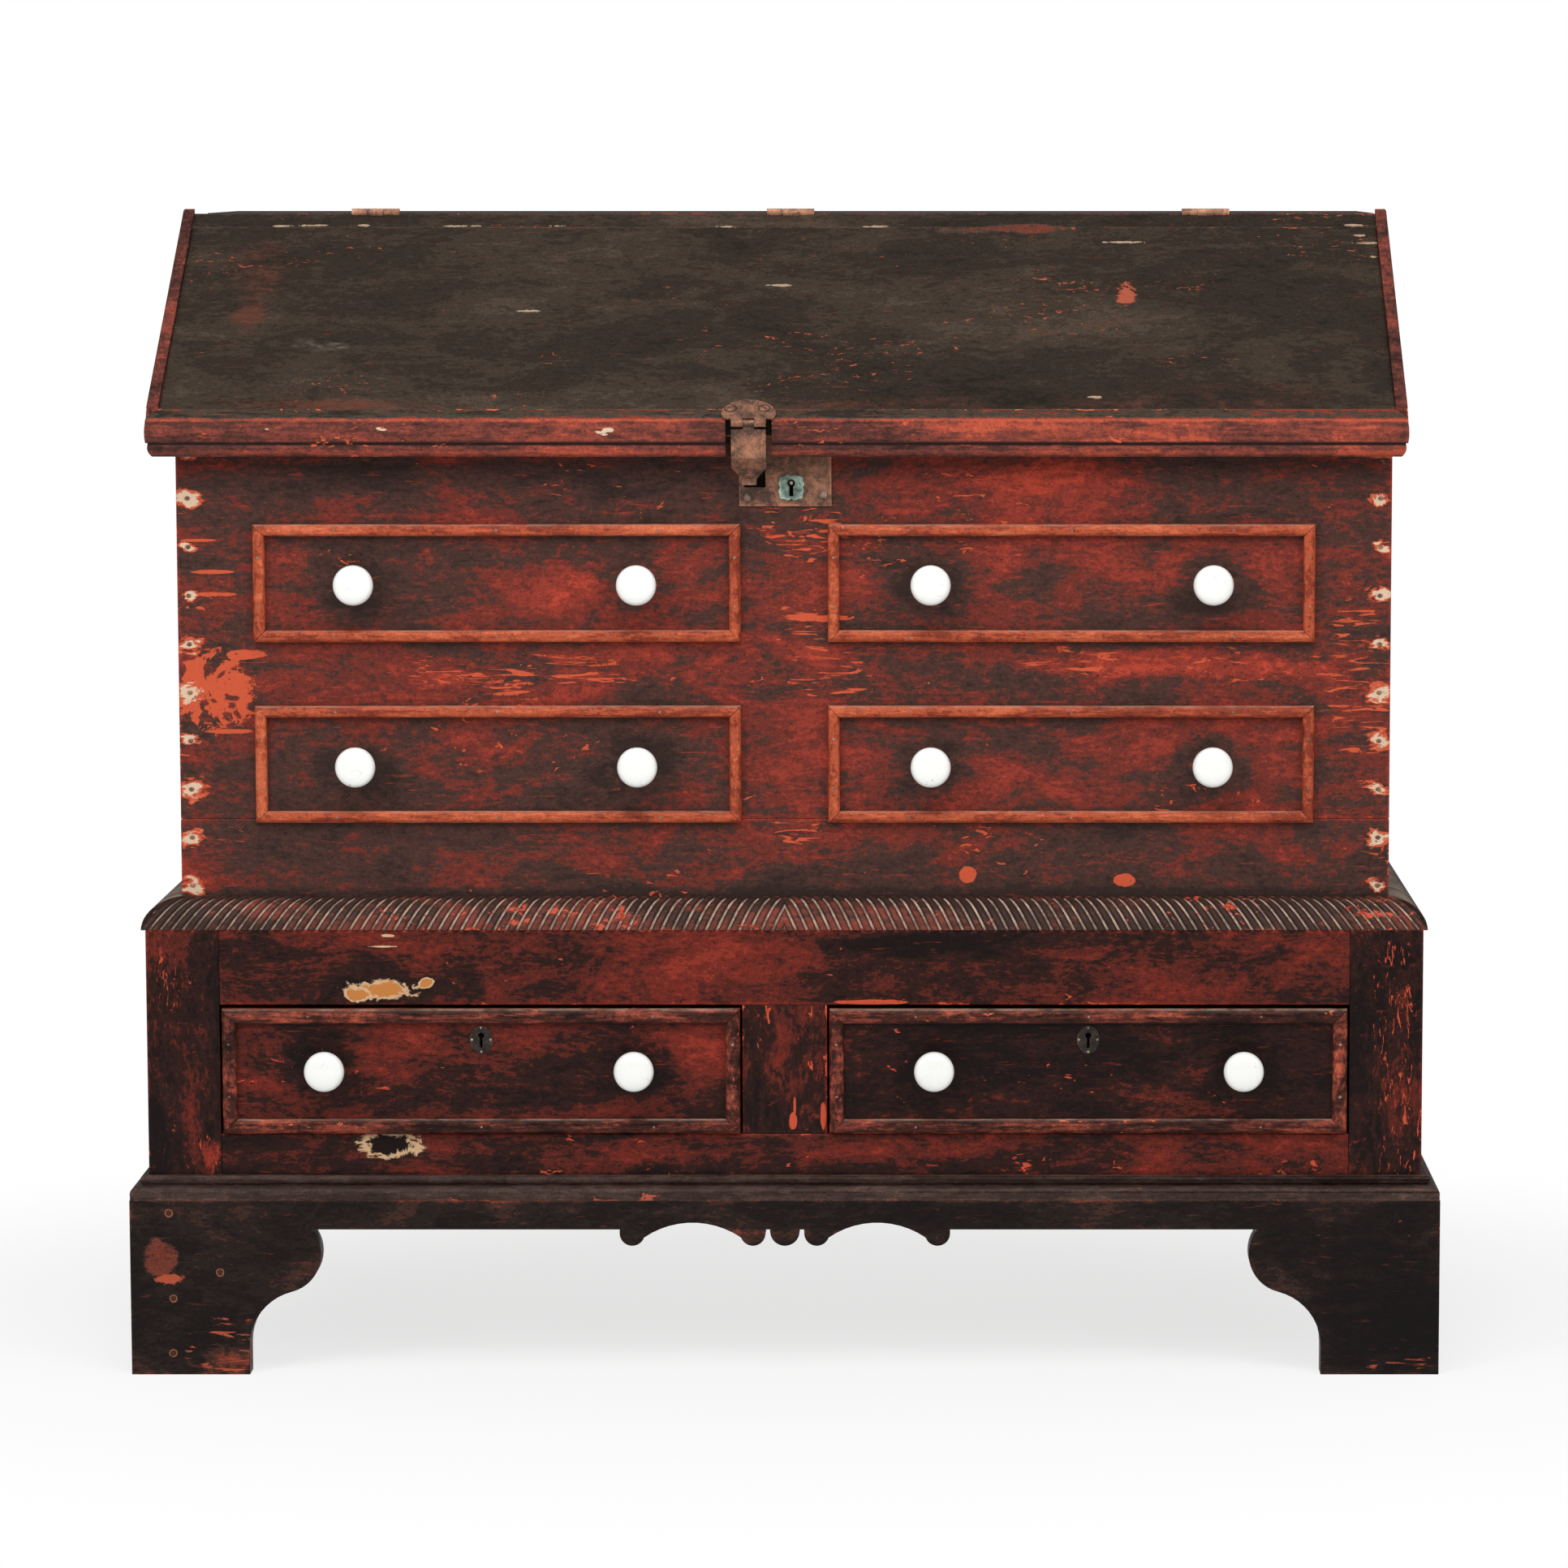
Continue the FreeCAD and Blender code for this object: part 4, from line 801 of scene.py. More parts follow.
@dataclass(frozen=True)
class OldMetal:
    """Rusted iron or tarnished brass."""

    dark: Colour
    body: Colour
    bright: Colour
    metal: float
    rough: float
    relief: float = 0.0006
    scale: float = 90.0
    edge_reach: float = 0.0025
    edge_lift: float = 0.16

    def material(self, name: str, box: tuple[Vector, Vector], spots: Sequence[Spot] = ()) -> Material:
        """Makes the finish.

        Args:
            name: the material's name.
            box: the piece's lowest and highest corner.
            spots: brighter or darker places.

        Returns:
            The material.
        """
        made = Surface(name)
        bloom = made.noise(made.point, self.scale, 6.0, 0.68, 0.4)
        grit = made.noise(made.point, self.scale * 7.0, 4.0, 0.65)
        tone = made.sum("MULTIPLY_ADD", grit, 0.35, made.sum("MULTIPLY", bloom, 0.65))
        tone = made.sum("MULTIPLY_ADD", made.wear(box, self.edge_reach), self.edge_lift, tone)
        for spot in spots:
            tone = made.sum("MULTIPLY_ADD", made.spot(spot, bloom)["Spot"], spot.lift, tone)
        colour = made.ramp(tone, (0.40, self.dark), (0.5, self.body), (0.64, self.bright))
        rough = made.span(tone, 0.3, 0.75, self.rough + 0.15, self.rough)
        return made.finished(colour, rough, tone, self.relief, Metallic=self.metal)


@dataclass(frozen=True)
class Porcelain:
    """White glazed porcelain with fine crackle and a few chips in the glaze."""

    glaze: Colour = shade(245, 246, 242)
    crackle: Colour = shade(196, 196, 188)
    chip: Colour = shade(120, 112, 100)
    soiled: Colour = shade(226, 226, 218)

    def material(self, name: str) -> Material:
        """Makes the finish.

        Args:
            name: the material's name.

        Returns:
            The material.
        """
        made = Surface(name)
        point = made.point
        veins = made.node("TexVoronoi", {"Vector": made.turned(point, shift=(0.3, 0.1, 0.7)), "Scale": 85.0},
                          feature="DISTANCE_TO_EDGE").outputs["Distance"]
        where = made.span(made.noise(point, 60.0, 3.0, 0.6), 0.56, 0.68)
        line = made.sum("MULTIPLY", made.span(veins, 0.0, 0.02, 1.0, 0.0), where)
        soil = made.span(made.noise(point, 24.0, 4.0, 0.6), 0.5, 0.75, 0.0, 0.25)
        pit = made.span(made.noise(point, 190.0, 2.0, 0.5), 0.76, 0.80)
        colour = made.blend(pit, made.blend(line, self.glaze, self.crackle), self.chip)
        return made.finished(made.blend(soil, colour, self.soiled), made.span(soil, 0.0, 0.25, 0.10, 0.2),
                             pit, -0.0002, **{"Coat Weight": 0.6, "Coat Roughness": 0.05})


def toned(kind: type, *tones: Point, **more: float) -> Union[OldPaint, OldMetal]:
    """Makes a finish from its tones as they are seen, in the order of its fields."""
    return kind(*(shade(*tone) for tone in tones), **more)


@dataclass(frozen=True)
class Palette:
    """Every finish on the chest."""

    red: OldPaint = toned(
        OldPaint, (52, 38, 34), (72, 47, 41), (108, 46, 37), (136, 52, 40), (166, 62, 44), (196, 84, 54),
        (212, 184, 156), contrast=1.2, balance=0.02)
    case_red: OldPaint = toned(
        OldPaint, (24, 14, 13), (44, 23, 19), (84, 33, 25), (108, 38, 28), (134, 47, 34), (192, 78, 52),
        (204, 168, 130), chip_amount=0.11, contrast=1.35)
    strip: OldPaint = toned(
        OldPaint, (84, 36, 27), (136, 58, 39), (172, 80, 52), (194, 98, 65), (210, 114, 76), (206, 116, 82),
        (214, 176, 138), balance=0.1, edge_reach=0.003, edge_lift=0.1, chip_amount=0.06, cloud=0.25,
        streak=0.3, dust=0.5)
    drawer_strip: OldPaint = toned(
        OldPaint, (34, 18, 15), (66, 33, 26), (104, 50, 39), (140, 66, 50), (176, 84, 62), (206, 104, 74),
        (196, 158, 118), edge_reach=0.003, edge_lift=0.15, chip_amount=0.13, cloud=0.25, streak=0.3,
        contrast=1.7, balance=0.04, dust=0.6)
    lid: OldPaint = toned(
        OldPaint, (34, 28, 22), (47, 38, 31), (58, 48, 39), (70, 58, 48), (108, 52, 39), (164, 82, 60),
        (166, 142, 118), contrast=0.9, chip_amount=0.115, chip_scale=260.0, balance=0.03, cloud=0.42,
        rub=0.26, edge_reach=0.003, edge_lift=0.4, satin=0.38)
    lip: OldPaint = toned(
        OldPaint, (56, 33, 29), (86, 48, 41), (116, 58, 48), (142, 66, 51), (176, 78, 56), (206, 94, 64),
        (214, 186, 160), edge_reach=0.004, edge_lift=0.22, contrast=1.4, streak=0.25)
    base: OldPaint = toned(
        OldPaint, (17, 12, 11), (26, 18, 16), (36, 26, 23), (60, 38, 31), (108, 52, 40), (170, 78, 54),
        (170, 118, 82), contrast=1.1, chip_amount=0.10, edge_reach=0.003, edge_lift=0.3)
    moulding: OldPaint = toned(
        OldPaint, (38, 26, 22), (56, 41, 36), (70, 53, 47), (92, 68, 60), (120, 80, 66), (168, 82, 62),
        (180, 150, 124), chip_amount=0.07, edge_reach=0.003, edge_lift=0.2, streak=0.3)
    bare: BareWood = BareWood()
    hidden: BareWood = BareWood(shade(120, 92, 64), shade(72, 52, 36))
    back: BareWood = BareWood(seams=((0.552, 0.10), (0.736, -0.14), (0.874, 0.16)))
    iron: OldMetal = toned(OldMetal, (72, 51, 41), (122, 84, 65), (174, 118, 88), metal=0.3, rough=0.55)
    rust: OldMetal = toned(OldMetal, (110, 78, 60), (168, 118, 90), (204, 148, 116), metal=0.2, rough=0.6)
    # black iron for the locks, and painted shade on the walls of the chest's keyhole
    black_iron_and_hole_shade: OldMetal = toned(OldMetal, (12, 10, 9), (20, 17, 15), (34, 28, 25), metal=0.3, rough=0.6)
    # dark brass for the drawers' keyhole plates, and painted shade for the hasp screws' rims and slot bars
    brass: OldMetal = toned(OldMetal, (20, 15, 12), (40, 31, 26), (78, 64, 48), metal=0.4, rough=0.5,
                            relief=0.0003)
    pin_brass: OldMetal = toned(OldMetal, (74, 62, 44), (128, 112, 84), (190, 174, 142), metal=0.3,
                                rough=0.4, scale=300.0)
    verdigris: OldMetal = toned(OldMetal, (70, 84, 76), (112, 134, 120), (180, 196, 178), metal=0.2,
                                rough=0.5, relief=0.0004, scale=160.0)
    worn_nail: OldMetal = toned(OldMetal, (78, 60, 49), (126, 102, 86), (184, 164, 146), metal=0.2,
                                rough=0.5, scale=300.0)
    porcelain: Porcelain = Porcelain()


def placed(name: str, data: bpy.types.ID) -> Piece:
    """Adds an object at the origin.

    Args:
        name: the object's name.
        data: its mesh, lamp or camera.

    Returns:
        The object.
    """
    made = bpy.data.objects.new(name, data)
    bpy.context.scene.collection.objects.link(made)
    return made


def shell(made: Mesh, name: str, materials: Sequence[Material], body: str,
          nodes: Iterable[str] = (), crease: float = 40.0) -> Piece:
    """Turns a finished bmesh into a piece of the chest.

    Args:
        made: the mesh, which is freed.
        name: the piece's name.
        materials: its finishes, in the order of its faces' slots.
        body: the body it moves with.
        nodes: the solids it stands for.
        crease: edges sharper than this, in degrees, stay hard.

    Returns:
        The new object.
    """
    bmesh.ops.remove_doubles(made, verts=made.verts, dist=1e-6)
    bmesh.ops.recalc_face_normals(made, faces=made.faces)
    for face in made.faces:
        face.smooth = True
    for edge in made.edges:
        edge.smooth = edge.calc_face_angle(math.pi) < math.radians(crease)
    mesh = bpy.data.meshes.new(name)
    made.to_mesh(mesh)
    made.free()
    piece = placed(name, mesh)
    for material in materials:
        mesh.materials.append(material)
    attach(piece, body)
    for node in nodes:
        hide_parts(node)
    LOG.info("piece %s: %d faces on %s", name, len(mesh.polygons), body)
    return piece


def whole(made: Mesh) -> list:
    """Gives all of a mesh's vertices, edges and faces."""
    return list(made.verts) + list(made.edges) + list(made.faces)


def verts_in(geometry: Iterable) -> list[bmesh.types.BMVert]:
    """Picks the vertices from an operator's result."""
    return [item for item in geometry if isinstance(item, bmesh.types.BMVert)]


def turned_shape(made: Mesh, profile: Iterable[tuple[float, float]], foot: Vector, sides: int,
                 outward: Point = FRONTWARD) -> None:
    """Turns a profile round a line that points out of a face.

    Args:
        made: the mesh that takes the shape.
        profile: distances out from the foot and radii there.
        foot: where the line starts.
        sides: how many steps make the round.
        outward: the line's direction, square to X.
    """
    line = Vector(outward)
    chain = [made.verts.new(foot + line * out + Vector((radius, 0, 0))) for out, radius in profile]
    edges = [made.edges.new(pair) for pair in zip(chain, chain[1:])]
    bmesh.ops.spin(made, geom=chain + edges, cent=foot, axis=line, dvec=(0, 0, 0), angle=math.tau,
                   steps=sides, use_merge=True, use_duplicate=False)


@dataclass
class KnobSet:
    """Turned porcelain knobs on one face; the outline is in shares of their reach and radius."""

    name: str
    node: str
    body: str
    places: Sequence[tuple[float, float]]
    face: float
    radius: float = 0.0175
    reach: float = 0.036
    sides: int = 40
    outline: Sequence[tuple[float, float]] = (
        (0.0, 0.0), (0.0, 0.60), (0.05, 0.66), (0.10, 0.62), (0.17, 0.48), (0.28, 0.42), (0.40, 0.46),
        (0.49, 0.62), (0.57, 0.84), (0.65, 0.96), (0.73, 1.0), (0.81, 1.0), (0.875, 0.965), (0.92, 0.90),
        (0.95, 0.80), (0.972, 0.62), (0.99, 0.34), (1.0, 0.0))

    def build(self, palette: Palette) -> Piece:
        """Turns all the knobs as one piece.

        Args:
            palette: the chest's finishes.

        Returns:
            The piece.
        """
        made = bmesh.new()
        profile = [(out * self.reach, wide * self.radius) for out, wide in self.outline]
        for x, z in self.places:
            turned_shape(made, profile, Vector((x, self.face, z)), self.sides)
        finish = palette.porcelain.material(self.name + "_glaze")
        return shell(made, self.name, [finish], self.body, (self.node,), crease=60.0)


@dataclass
class RopeMoulding:
    """Carved quarter round whose strands lean towards the middle from both ends."""

    node: str = "rope_moulding"
    returns: str = "rope_moulding_returns"
    pitch: float = 0.0097
    lean: float = 0.017
    bend: float = 0.013
    groove: float = 0.0032
    gap: float = 0.0002
    steps: int = 7
    section: Sequence[tuple[float, float]] = ((0.0, 1.0), (0.10, 0.92), (0.20, 0.42), (0.36, 0.08),
                                              (0.54, 0.0), (0.74, 0.12), (0.90, 0.48), (1.0, 1.0))
    low: Vector = field(init=False)
    high: Vector = field(init=False)
    corner: float = field(init=False)
    reach: float = field(init=False)
    rise: float = field(init=False)

    def __post_init__(self) -> None:
        """Reads the moulding's place."""
        self.low, self.high = (Vector(c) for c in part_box(self.node))
        self.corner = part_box(self.returns)[1][0]
        self.reach = self.high.y - self.low.y
        self.rise = self.high.z - self.low.z

    def strands(self, made: Mesh, axis: Vector) -> None:
        """Carves one strand from the foot of the moulding to its top and repeats it along the front.

        Args:
            made: the mesh that takes the strands.
            axis: the line that the quarter round is turned about.
        """
        chain = [made.verts.new((along * self.pitch, axis.y - self.rise + sunk * self.groove, axis.z))
                 for along, sunk in self.section]
        edges = [made.edges.new(pair) for pair in zip(chain, chain[1:])]
        bmesh.ops.spin(made, geom=chain + edges, cent=axis, axis=(1, 0, 0),
                       dvec=(-self.lean / self.steps, 0, 0), angle=-math.pi / 2,
                       steps=self.steps, use_merge=False, use_duplicate=False)
        first = whole(made)
        length = self.corner + self.lean + self.bend
        for index in range(1, int(length / self.pitch) + 1):
            copy = bmesh.ops.duplicate(made, geom=first)["geom"]
            bmesh.ops.translate(made, vec=(index * self.pitch, 0, 0), verts=verts_in(copy))
        bmesh.ops.remove_doubles(made, verts=made.verts, dist=1e-6)

    def build(self, palette: Palette) -> Piece:
        """Carves the right half, leans it more towards its end, mitres, mirrors and closes it.

        Args:
            palette: the chest's finishes.

        Returns:
            The piece.
        """
        made = bmesh.new()
        axis = Vector((0.0, self.high.y, self.low.z))
        self.strands(made, axis)
        for vert in made.verts:
            up = math.atan2(vert.co.z - axis.z, axis.y - vert.co.y) / (math.pi / 2)
            vert.co.x -= self.bend * up * (vert.co.x / self.corner) ** 2
        bmesh.ops.scale(made, vec=(1, self.reach / self.rise, 1), verts=made.verts,
                        space=Matrix.Translation(-axis))
        inner = self.corner - self.reach - self.gap
        for plane, outward in (((0, 0, 0), (-1, 0, 0)), ((inner, self.high.y, 0), (1, 1, 0))):
            bmesh.ops.bisect_plane(made, geom=whole(made), plane_co=plane, plane_no=outward,
                                   clear_outer=True)
        bmesh.ops.mirror(made, geom=whole(made), matrix=Matrix.Identity(4), merge_dist=2e-5, axis="X")
        self.close(made, inner)
        self.plain_sides(palette)
        return shell(made, "rope_strands", [self.finish()], "case", (self.node,),
                     crease=48.0)

    def close(self, made: Mesh, inner: float) -> None:
        """Closes the carved shell underneath, behind and at both mitres.

        Args:
            made: the open shell.
            inner: where the mitres end at the chest, from the middle.
        """
        near = 1e-5
        rim = [edge for edge in made.edges if edge.is_boundary]
        foot = [edge for edge in rim if all(vert.co.z < self.low.z + near for vert in edge.verts)]
        top = [edge for edge in rim if all(vert.co.y > self.high.y - near for vert in edge.verts)]
        corners = {side: made.verts.new((side * inner, self.high.y, self.low.z)) for side in (-1, 1)}
        line = made.edges.new(corners.values())
        ends = {}
        for side, corner in corners.items():
            for name, edges in (("foot", foot), ("top", top)):
                last = max((vert for edge in edges for vert in edge.verts), key=lambda v: side * v.co.x)
                ends[side, name] = made.edges.new((last, corner))
        flat = set(foot + top)
        loops = [(foot + [line, ends[-1, "foot"], ends[1, "foot"]], (0, 0, -1)),
                 (top + [line, ends[-1, "top"], ends[1, "top"]], (0, 1, 0))]
        for side in corners:
            mitre = [edge for edge in rim if edge not in flat and side * edge.verts[0].co.x > 0]
            loops.append((mitre + [ends[side, "foot"], ends[side, "top"]], (side, 1, 0)))
        for edges, outward in loops:
            bmesh.ops.triangle_fill(made, use_beauty=True, edges=edges, normal=outward)

    def plain_sides(self, palette: Palette) -> Piece:
        """Runs the plain quarter rounds back along both sides.

        Args:
            palette: the chest's finishes.

        Returns:
            The piece.
        """
        made = bmesh.new()
        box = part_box(self.returns)
        flats = 12
        turns = [math.pi / 2 * step / flats for step in range(flats + 1)]
        section = [(self.reach * math.cos(turn), self.rise * math.sin(turn)) for turn in turns]
        ring = [made.verts.new((self.corner - self.reach + out, self.high.y - out, self.low.z + up))
                for out, up in section + [(0.0, 0.0)]]
        grown = bmesh.ops.extrude_face_region(made, geom=[made.faces.new(ring)])["geom"]
        for vert in verts_in(grown):
            vert.co.y = box[1][1]
        bmesh.ops.mirror(made, geom=whole(made), matrix=Matrix.Identity(4), merge_dist=1e-6, axis="X")
        dusty = replace(palette.moulding, dust=0.75)
        finish = dusty.material("rope_side_paint", box, Grain.DEEP, seed=19.0)
        return shell(made, "rope_plain_sides", [finish], "case", (self.returns,),
                     crease=30.0)

    def finish(self) -> Material:
        """Makes the rope's finish: worn red on the strands, painted shade on the groove flanks and dust in
        the grooves.

        Returns:
            The material.
        """
        made = Surface("rope_paint")
        point = made.point
        _, y, z = made.parts(point)
        up = made.sum("DIVIDE", made.sum("SUBTRACT", z, self.low.z), self.rise)
        out = made.sum("DIVIDE", made.sum("SUBTRACT", self.high.y, y), self.reach)
        angle = made.sum("ARCTAN2", up, out)
        radius = made.sum("SQRT", made.sum("ADD", made.sum("MULTIPLY", up, up),
                                           made.sum("MULTIPLY", out, out)))
        along = made.turned(point, Grain.ACROSS.value, (2.0, 0.0, 1.0))
        paint = made.group(Effects.old_paint(), Point=along, Flat=point, Cloud=0.4, Patch=0.3, Rub=0.2,
                           Streak=0.1)
        tone = made.sum("MULTIPLY_ADD", made.sum("SUBTRACT", angle, 0.8), -0.12, paint["Tone"])
        colour = made.ramp(tone, (0.0, shade(36, 25, 22)), (0.50, shade(62, 42, 36)),
                           (0.60, shade(100, 52, 42)), (0.80, shade(132, 60, 47)),
                           (0.97, shade(178, 76, 55)))
        deep = self.groove / self.rise
        # painted shade: the flanks of the grooves darkened where shade falls
        groove_shade = made.span(radius, 1.0 - 0.12 * deep, 1.0 - 0.5 * deep, 0.0, 0.65)
        colour = made.blend(groove_shade, colour, shade(30, 19, 16))
        dust = made.sum("MULTIPLY", made.span(radius, 1.0 - 0.52 * deep, 1.0 - 0.86 * deep),
                        made.span(made.noise(point, 75.0, 6.0, 0.7), 0.36, 0.64, 0.35, 1.0))
        colour = made.blend(dust, colour, shade(204, 180, 162))
        chip = made.group(Effects.chips(), Point=along, Scale=130.0, Amount=0.165)["Chip"]
        colour = made.blend(chip, colour, shade(188, 82, 60))
        return made.finished(colour, made.span(dust, 0.0, 1.0, 0.48, 0.8),
                             made.sum("SUBTRACT", paint["Fine"], chip), 0.0004,
                             **{"Specular IOR Level": 0.15})


@dataclass
class StripFrames:
    """Nailed frames of half-round strip, mitred at the corners; panels are left, right, bottom, top."""

    name: str
    node: str
    body: str
    panels: Sequence[tuple[float, float, float, float]]
    foot: float
    width: float
    thick: float
    paint: OldPaint
    seed: float
    nail_gap: float = 0.14
    mitre_gap: float = 0.0005
    crooked: float = 0.0012
    nail_radii: tuple[float, float] = (0.0009, 0.0014)
    nail_height: float = 0.0004
    nail_sides: int = 8
    upright_nails: tuple[float, float] = (0.3, 0.72)
    section: Sequence[tuple[float, float]] = (
        (0.0, 0.0), (0.0, 0.52), (0.05, 0.72), (0.15, 0.89), (0.32, 0.985), (0.5, 1.0), (0.68, 0.985),
        (0.85, 0.89), (0.95, 0.72), (1.0, 0.52), (1.0, 0.0))

    def strip(self, made: Mesh, length: float) -> list[bmesh.types.BMVert]:
        """Planes one strip along X with mitred ends, its outer edge on z = 0.

        Args:
            made: the mesh that takes the strip.
            length: the strip's length along its outer edge.

        Returns:
            The strip's vertices.
        """
        before = set(made.verts)
        ring = [made.verts.new((across * self.width - length / 2, -out * self.thick, across * self.width))
                for across, out in self.section]
        grown = bmesh.ops.extrude_face_region(made, geom=[made.faces.new(ring)])["geom"]
        for vert in verts_in(grown):
            vert.co.x = -vert.co.x
        return [vert for vert in made.verts if vert not in before]

    def frame(self, made: Mesh, panel: tuple[float, float, float, float], luck: random.Random) -> None:
        """Sets four strips round one panel.

        Args:
            made: the mesh that takes the strips.
            panel: left, right, bottom and top of the frame.
            luck: small differences between hand-cut strips.
        """
        left, right, bottom, top = panel
        centre = Vector(((left + right) / 2, self.foot, (bottom + top) / 2))
        wide, tall = right - left, top - bottom
        for turn, (length, between) in enumerate(((wide, tall), (tall, wide)) * 2):
            verts = self.strip(made, length - self.mitre_gap)
            spin = Matrix.Rotation(-turn * math.pi / 2, 4, "Y")
            tilt = Matrix.Rotation(luck.uniform(-self.crooked, self.crooked), 4, "Y")
            place = Matrix.Translation(centre) @ spin @ Matrix.Translation((0, 0, -between / 2)) @ tilt
            bmesh.ops.transform(made, matrix=place, verts=verts)
            for face in {face for vert in verts for face in vert.link_faces}:
                face.material_index = turn % 2

    def nail_places(self) -> list[Vector]:
        """Gives the places of the small nails along every strip.

        Returns:
            The places.
        """
        places = []
        half = self.width / 2
        for left, right, bottom, top in self.panels:
            count = max(2, round((right - left) / self.nail_gap))
            columns = [left + (right - left) * (index + 0.5) / count for index in range(count)]
            places += [(x, z) for x in columns for z in (bottom + half, top - half)]
            places += [(x, bottom + share * (top - bottom)) for share in self.upright_nails
                       for x in (left + half, right - half)]
        return [Vector((x, self.foot - self.thick, z)) for x, z in places]

    def build(self, palette: Palette) -> None:
        """Makes the frames and their nails.

        Args:
            palette: the chest's finishes.
        """
        made = bmesh.new()
        luck = random.Random(self.seed)
        for panel in self.panels:
            self.frame(made, panel, luck)
        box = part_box(self.node)
        finishes = [self.paint.material(f"{self.name}_{grain.name.lower()}", box, grain, seed=self.seed)
                    for grain in (Grain.ACROSS, Grain.UPRIGHT)]
        shell(made, self.name, finishes, self.body, (self.node,), crease=38.0)
        nails = bmesh.new()
        for place in self.nail_places():
            size, tall = luck.uniform(*self.nail_radii), self.nail_height
            profile = ((-tall, 0.0), (-tall, size), (0.25 * tall, size), (0.75 * tall, 0.6 * size),
                       (tall, 0.0))
            turned_shape(nails, profile, place, self.nail_sides)
        shell(nails, self.name + "_nails", [palette.worn_nail.material(self.name + "_nail_iron", box)],
              self.body)


@dataclass
class KeyShield:
    """Scalloped plate round the chest's keyhole, nearly square, with a rounded rim."""

    node: str = "lock_keyhole_plate"
    radius: float = 0.0118
    key: tuple[float, float] = (0.0065, 0.7788)
    round: float = 0.0027
    slit: float = 0.0012
    drop: float = 0.0107
    flare: float = 0.0006
    front: float = 0.0024
    square: float = 0.10
    scallop: float = 0.045
    scallops: int = 12
    sides: int = 96
    rim: Sequence[tuple[float, float]] = ((1.0, 0.0013), (0.96, 0.0019), (0.91, 0.0021), (0.87, 0.0019))

    def plate(self, made: Mesh) -> tuple[list[bmesh.types.BMEdge], list[bmesh.types.BMEdge]]:
        """Draws the scalloped outline and grows it ring by ring over its rounded rim.

        Args:
            made: the mesh that takes it.

        Returns:
            The edges of its back and of its face.
        """
        low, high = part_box(self.node)
        centre = Vector(((low[0] + high[0]) / 2, high[1], (low[2] + high[2]) / 2))
        lie = Matrix.Translation(centre) @ Matrix.Rotation(math.pi / 2, 4, "X")
        drawn = bmesh.ops.create_circle(made, segments=self.sides, radius=self.radius, matrix=lie)
        for vert in drawn["verts"]:
            turn = math.atan2(vert.co.z - centre.z, vert.co.x - centre.x)
            reach = 1 - self.square * math.cos(4 * turn) - self.scallop * math.cos(self.scallops * turn)
            vert.co = centre + reach * (vert.co - centre)
        back = ring = list(made.edges)
        share_before = 1.0
        for share, out in self.rim:
            grown = bmesh.ops.extrude_edge_only(made, edges=ring)["geom"]
            ring = [item for item in grown if isinstance(item, bmesh.types.BMEdge)]
            size = share / share_before
            bmesh.ops.scale(made, vec=(size, 1, size), verts=verts_in(grown),
                            space=Matrix.Translation(-centre))
            for vert in verts_in(grown):
                vert.co.y = high[1] - out
            share_before = share
        return back, ring

    def keyhole(self, made: Mesh, wider: float, out: float) -> list[bmesh.types.BMEdge]:
        """Draws the keyhole.

        Args:
            made: the mesh that takes it.
            wider: how much it is widened.
            out: how far it stands in front of the lock plate.

        Returns:
            Its edges.
        """
        (x, z), y = self.key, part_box(self.node)[1][1] - out
        size, slit = self.round + wider, self.slit + wider
        gap = math.asin(slit / size)
        flats = 24
        turns = [-math.pi / 2 + gap + (math.tau - 2 * gap) * step / flats for step in range(flats + 1)]
        ring = [made.verts.new((x + size * math.cos(t), y, z + size * math.sin(t))) for t in turns]
        ring += [made.verts.new((x + side * slit, y, z - self.drop - wider)) for side in (-1, 1)]
        return [made.edges.new(pair) for pair in zip(ring, ring[1:] + ring[:1])]

    def build(self, palette: Palette) -> Piece:
        """Makes the shield.

        Args:
            palette: the chest's finishes.

        Returns:
            The piece.
        """
        made = bmesh.new()
        back, face = self.plate(made)
        inner = self.keyhole(made, 0.0, 0.0)
        outer = self.keyhole(made, self.flare, self.front)
        # the keyhole's walls take the near-black second finish: painted shade that makes the hole look deep
        for wall in bmesh.ops.bridge_loops(made, edges=inner + outer)["faces"]:
            wall.material_index = 1
        for edges, outward in ((face + outer, FRONTWARD), (back + inner, (0, 1, 0))):
            bmesh.ops.triangle_fill(made, use_beauty=True, edges=edges, normal=outward)
        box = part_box(self.node)
        finishes = [palette.verdigris.material("shield_verdigris", box),
                    palette.black_iron_and_hole_shade.material("shield_keyhole_painted_shade", box)]
        return shell(made, "key_shield", finishes, "case", (self.node,), crease=32.0)


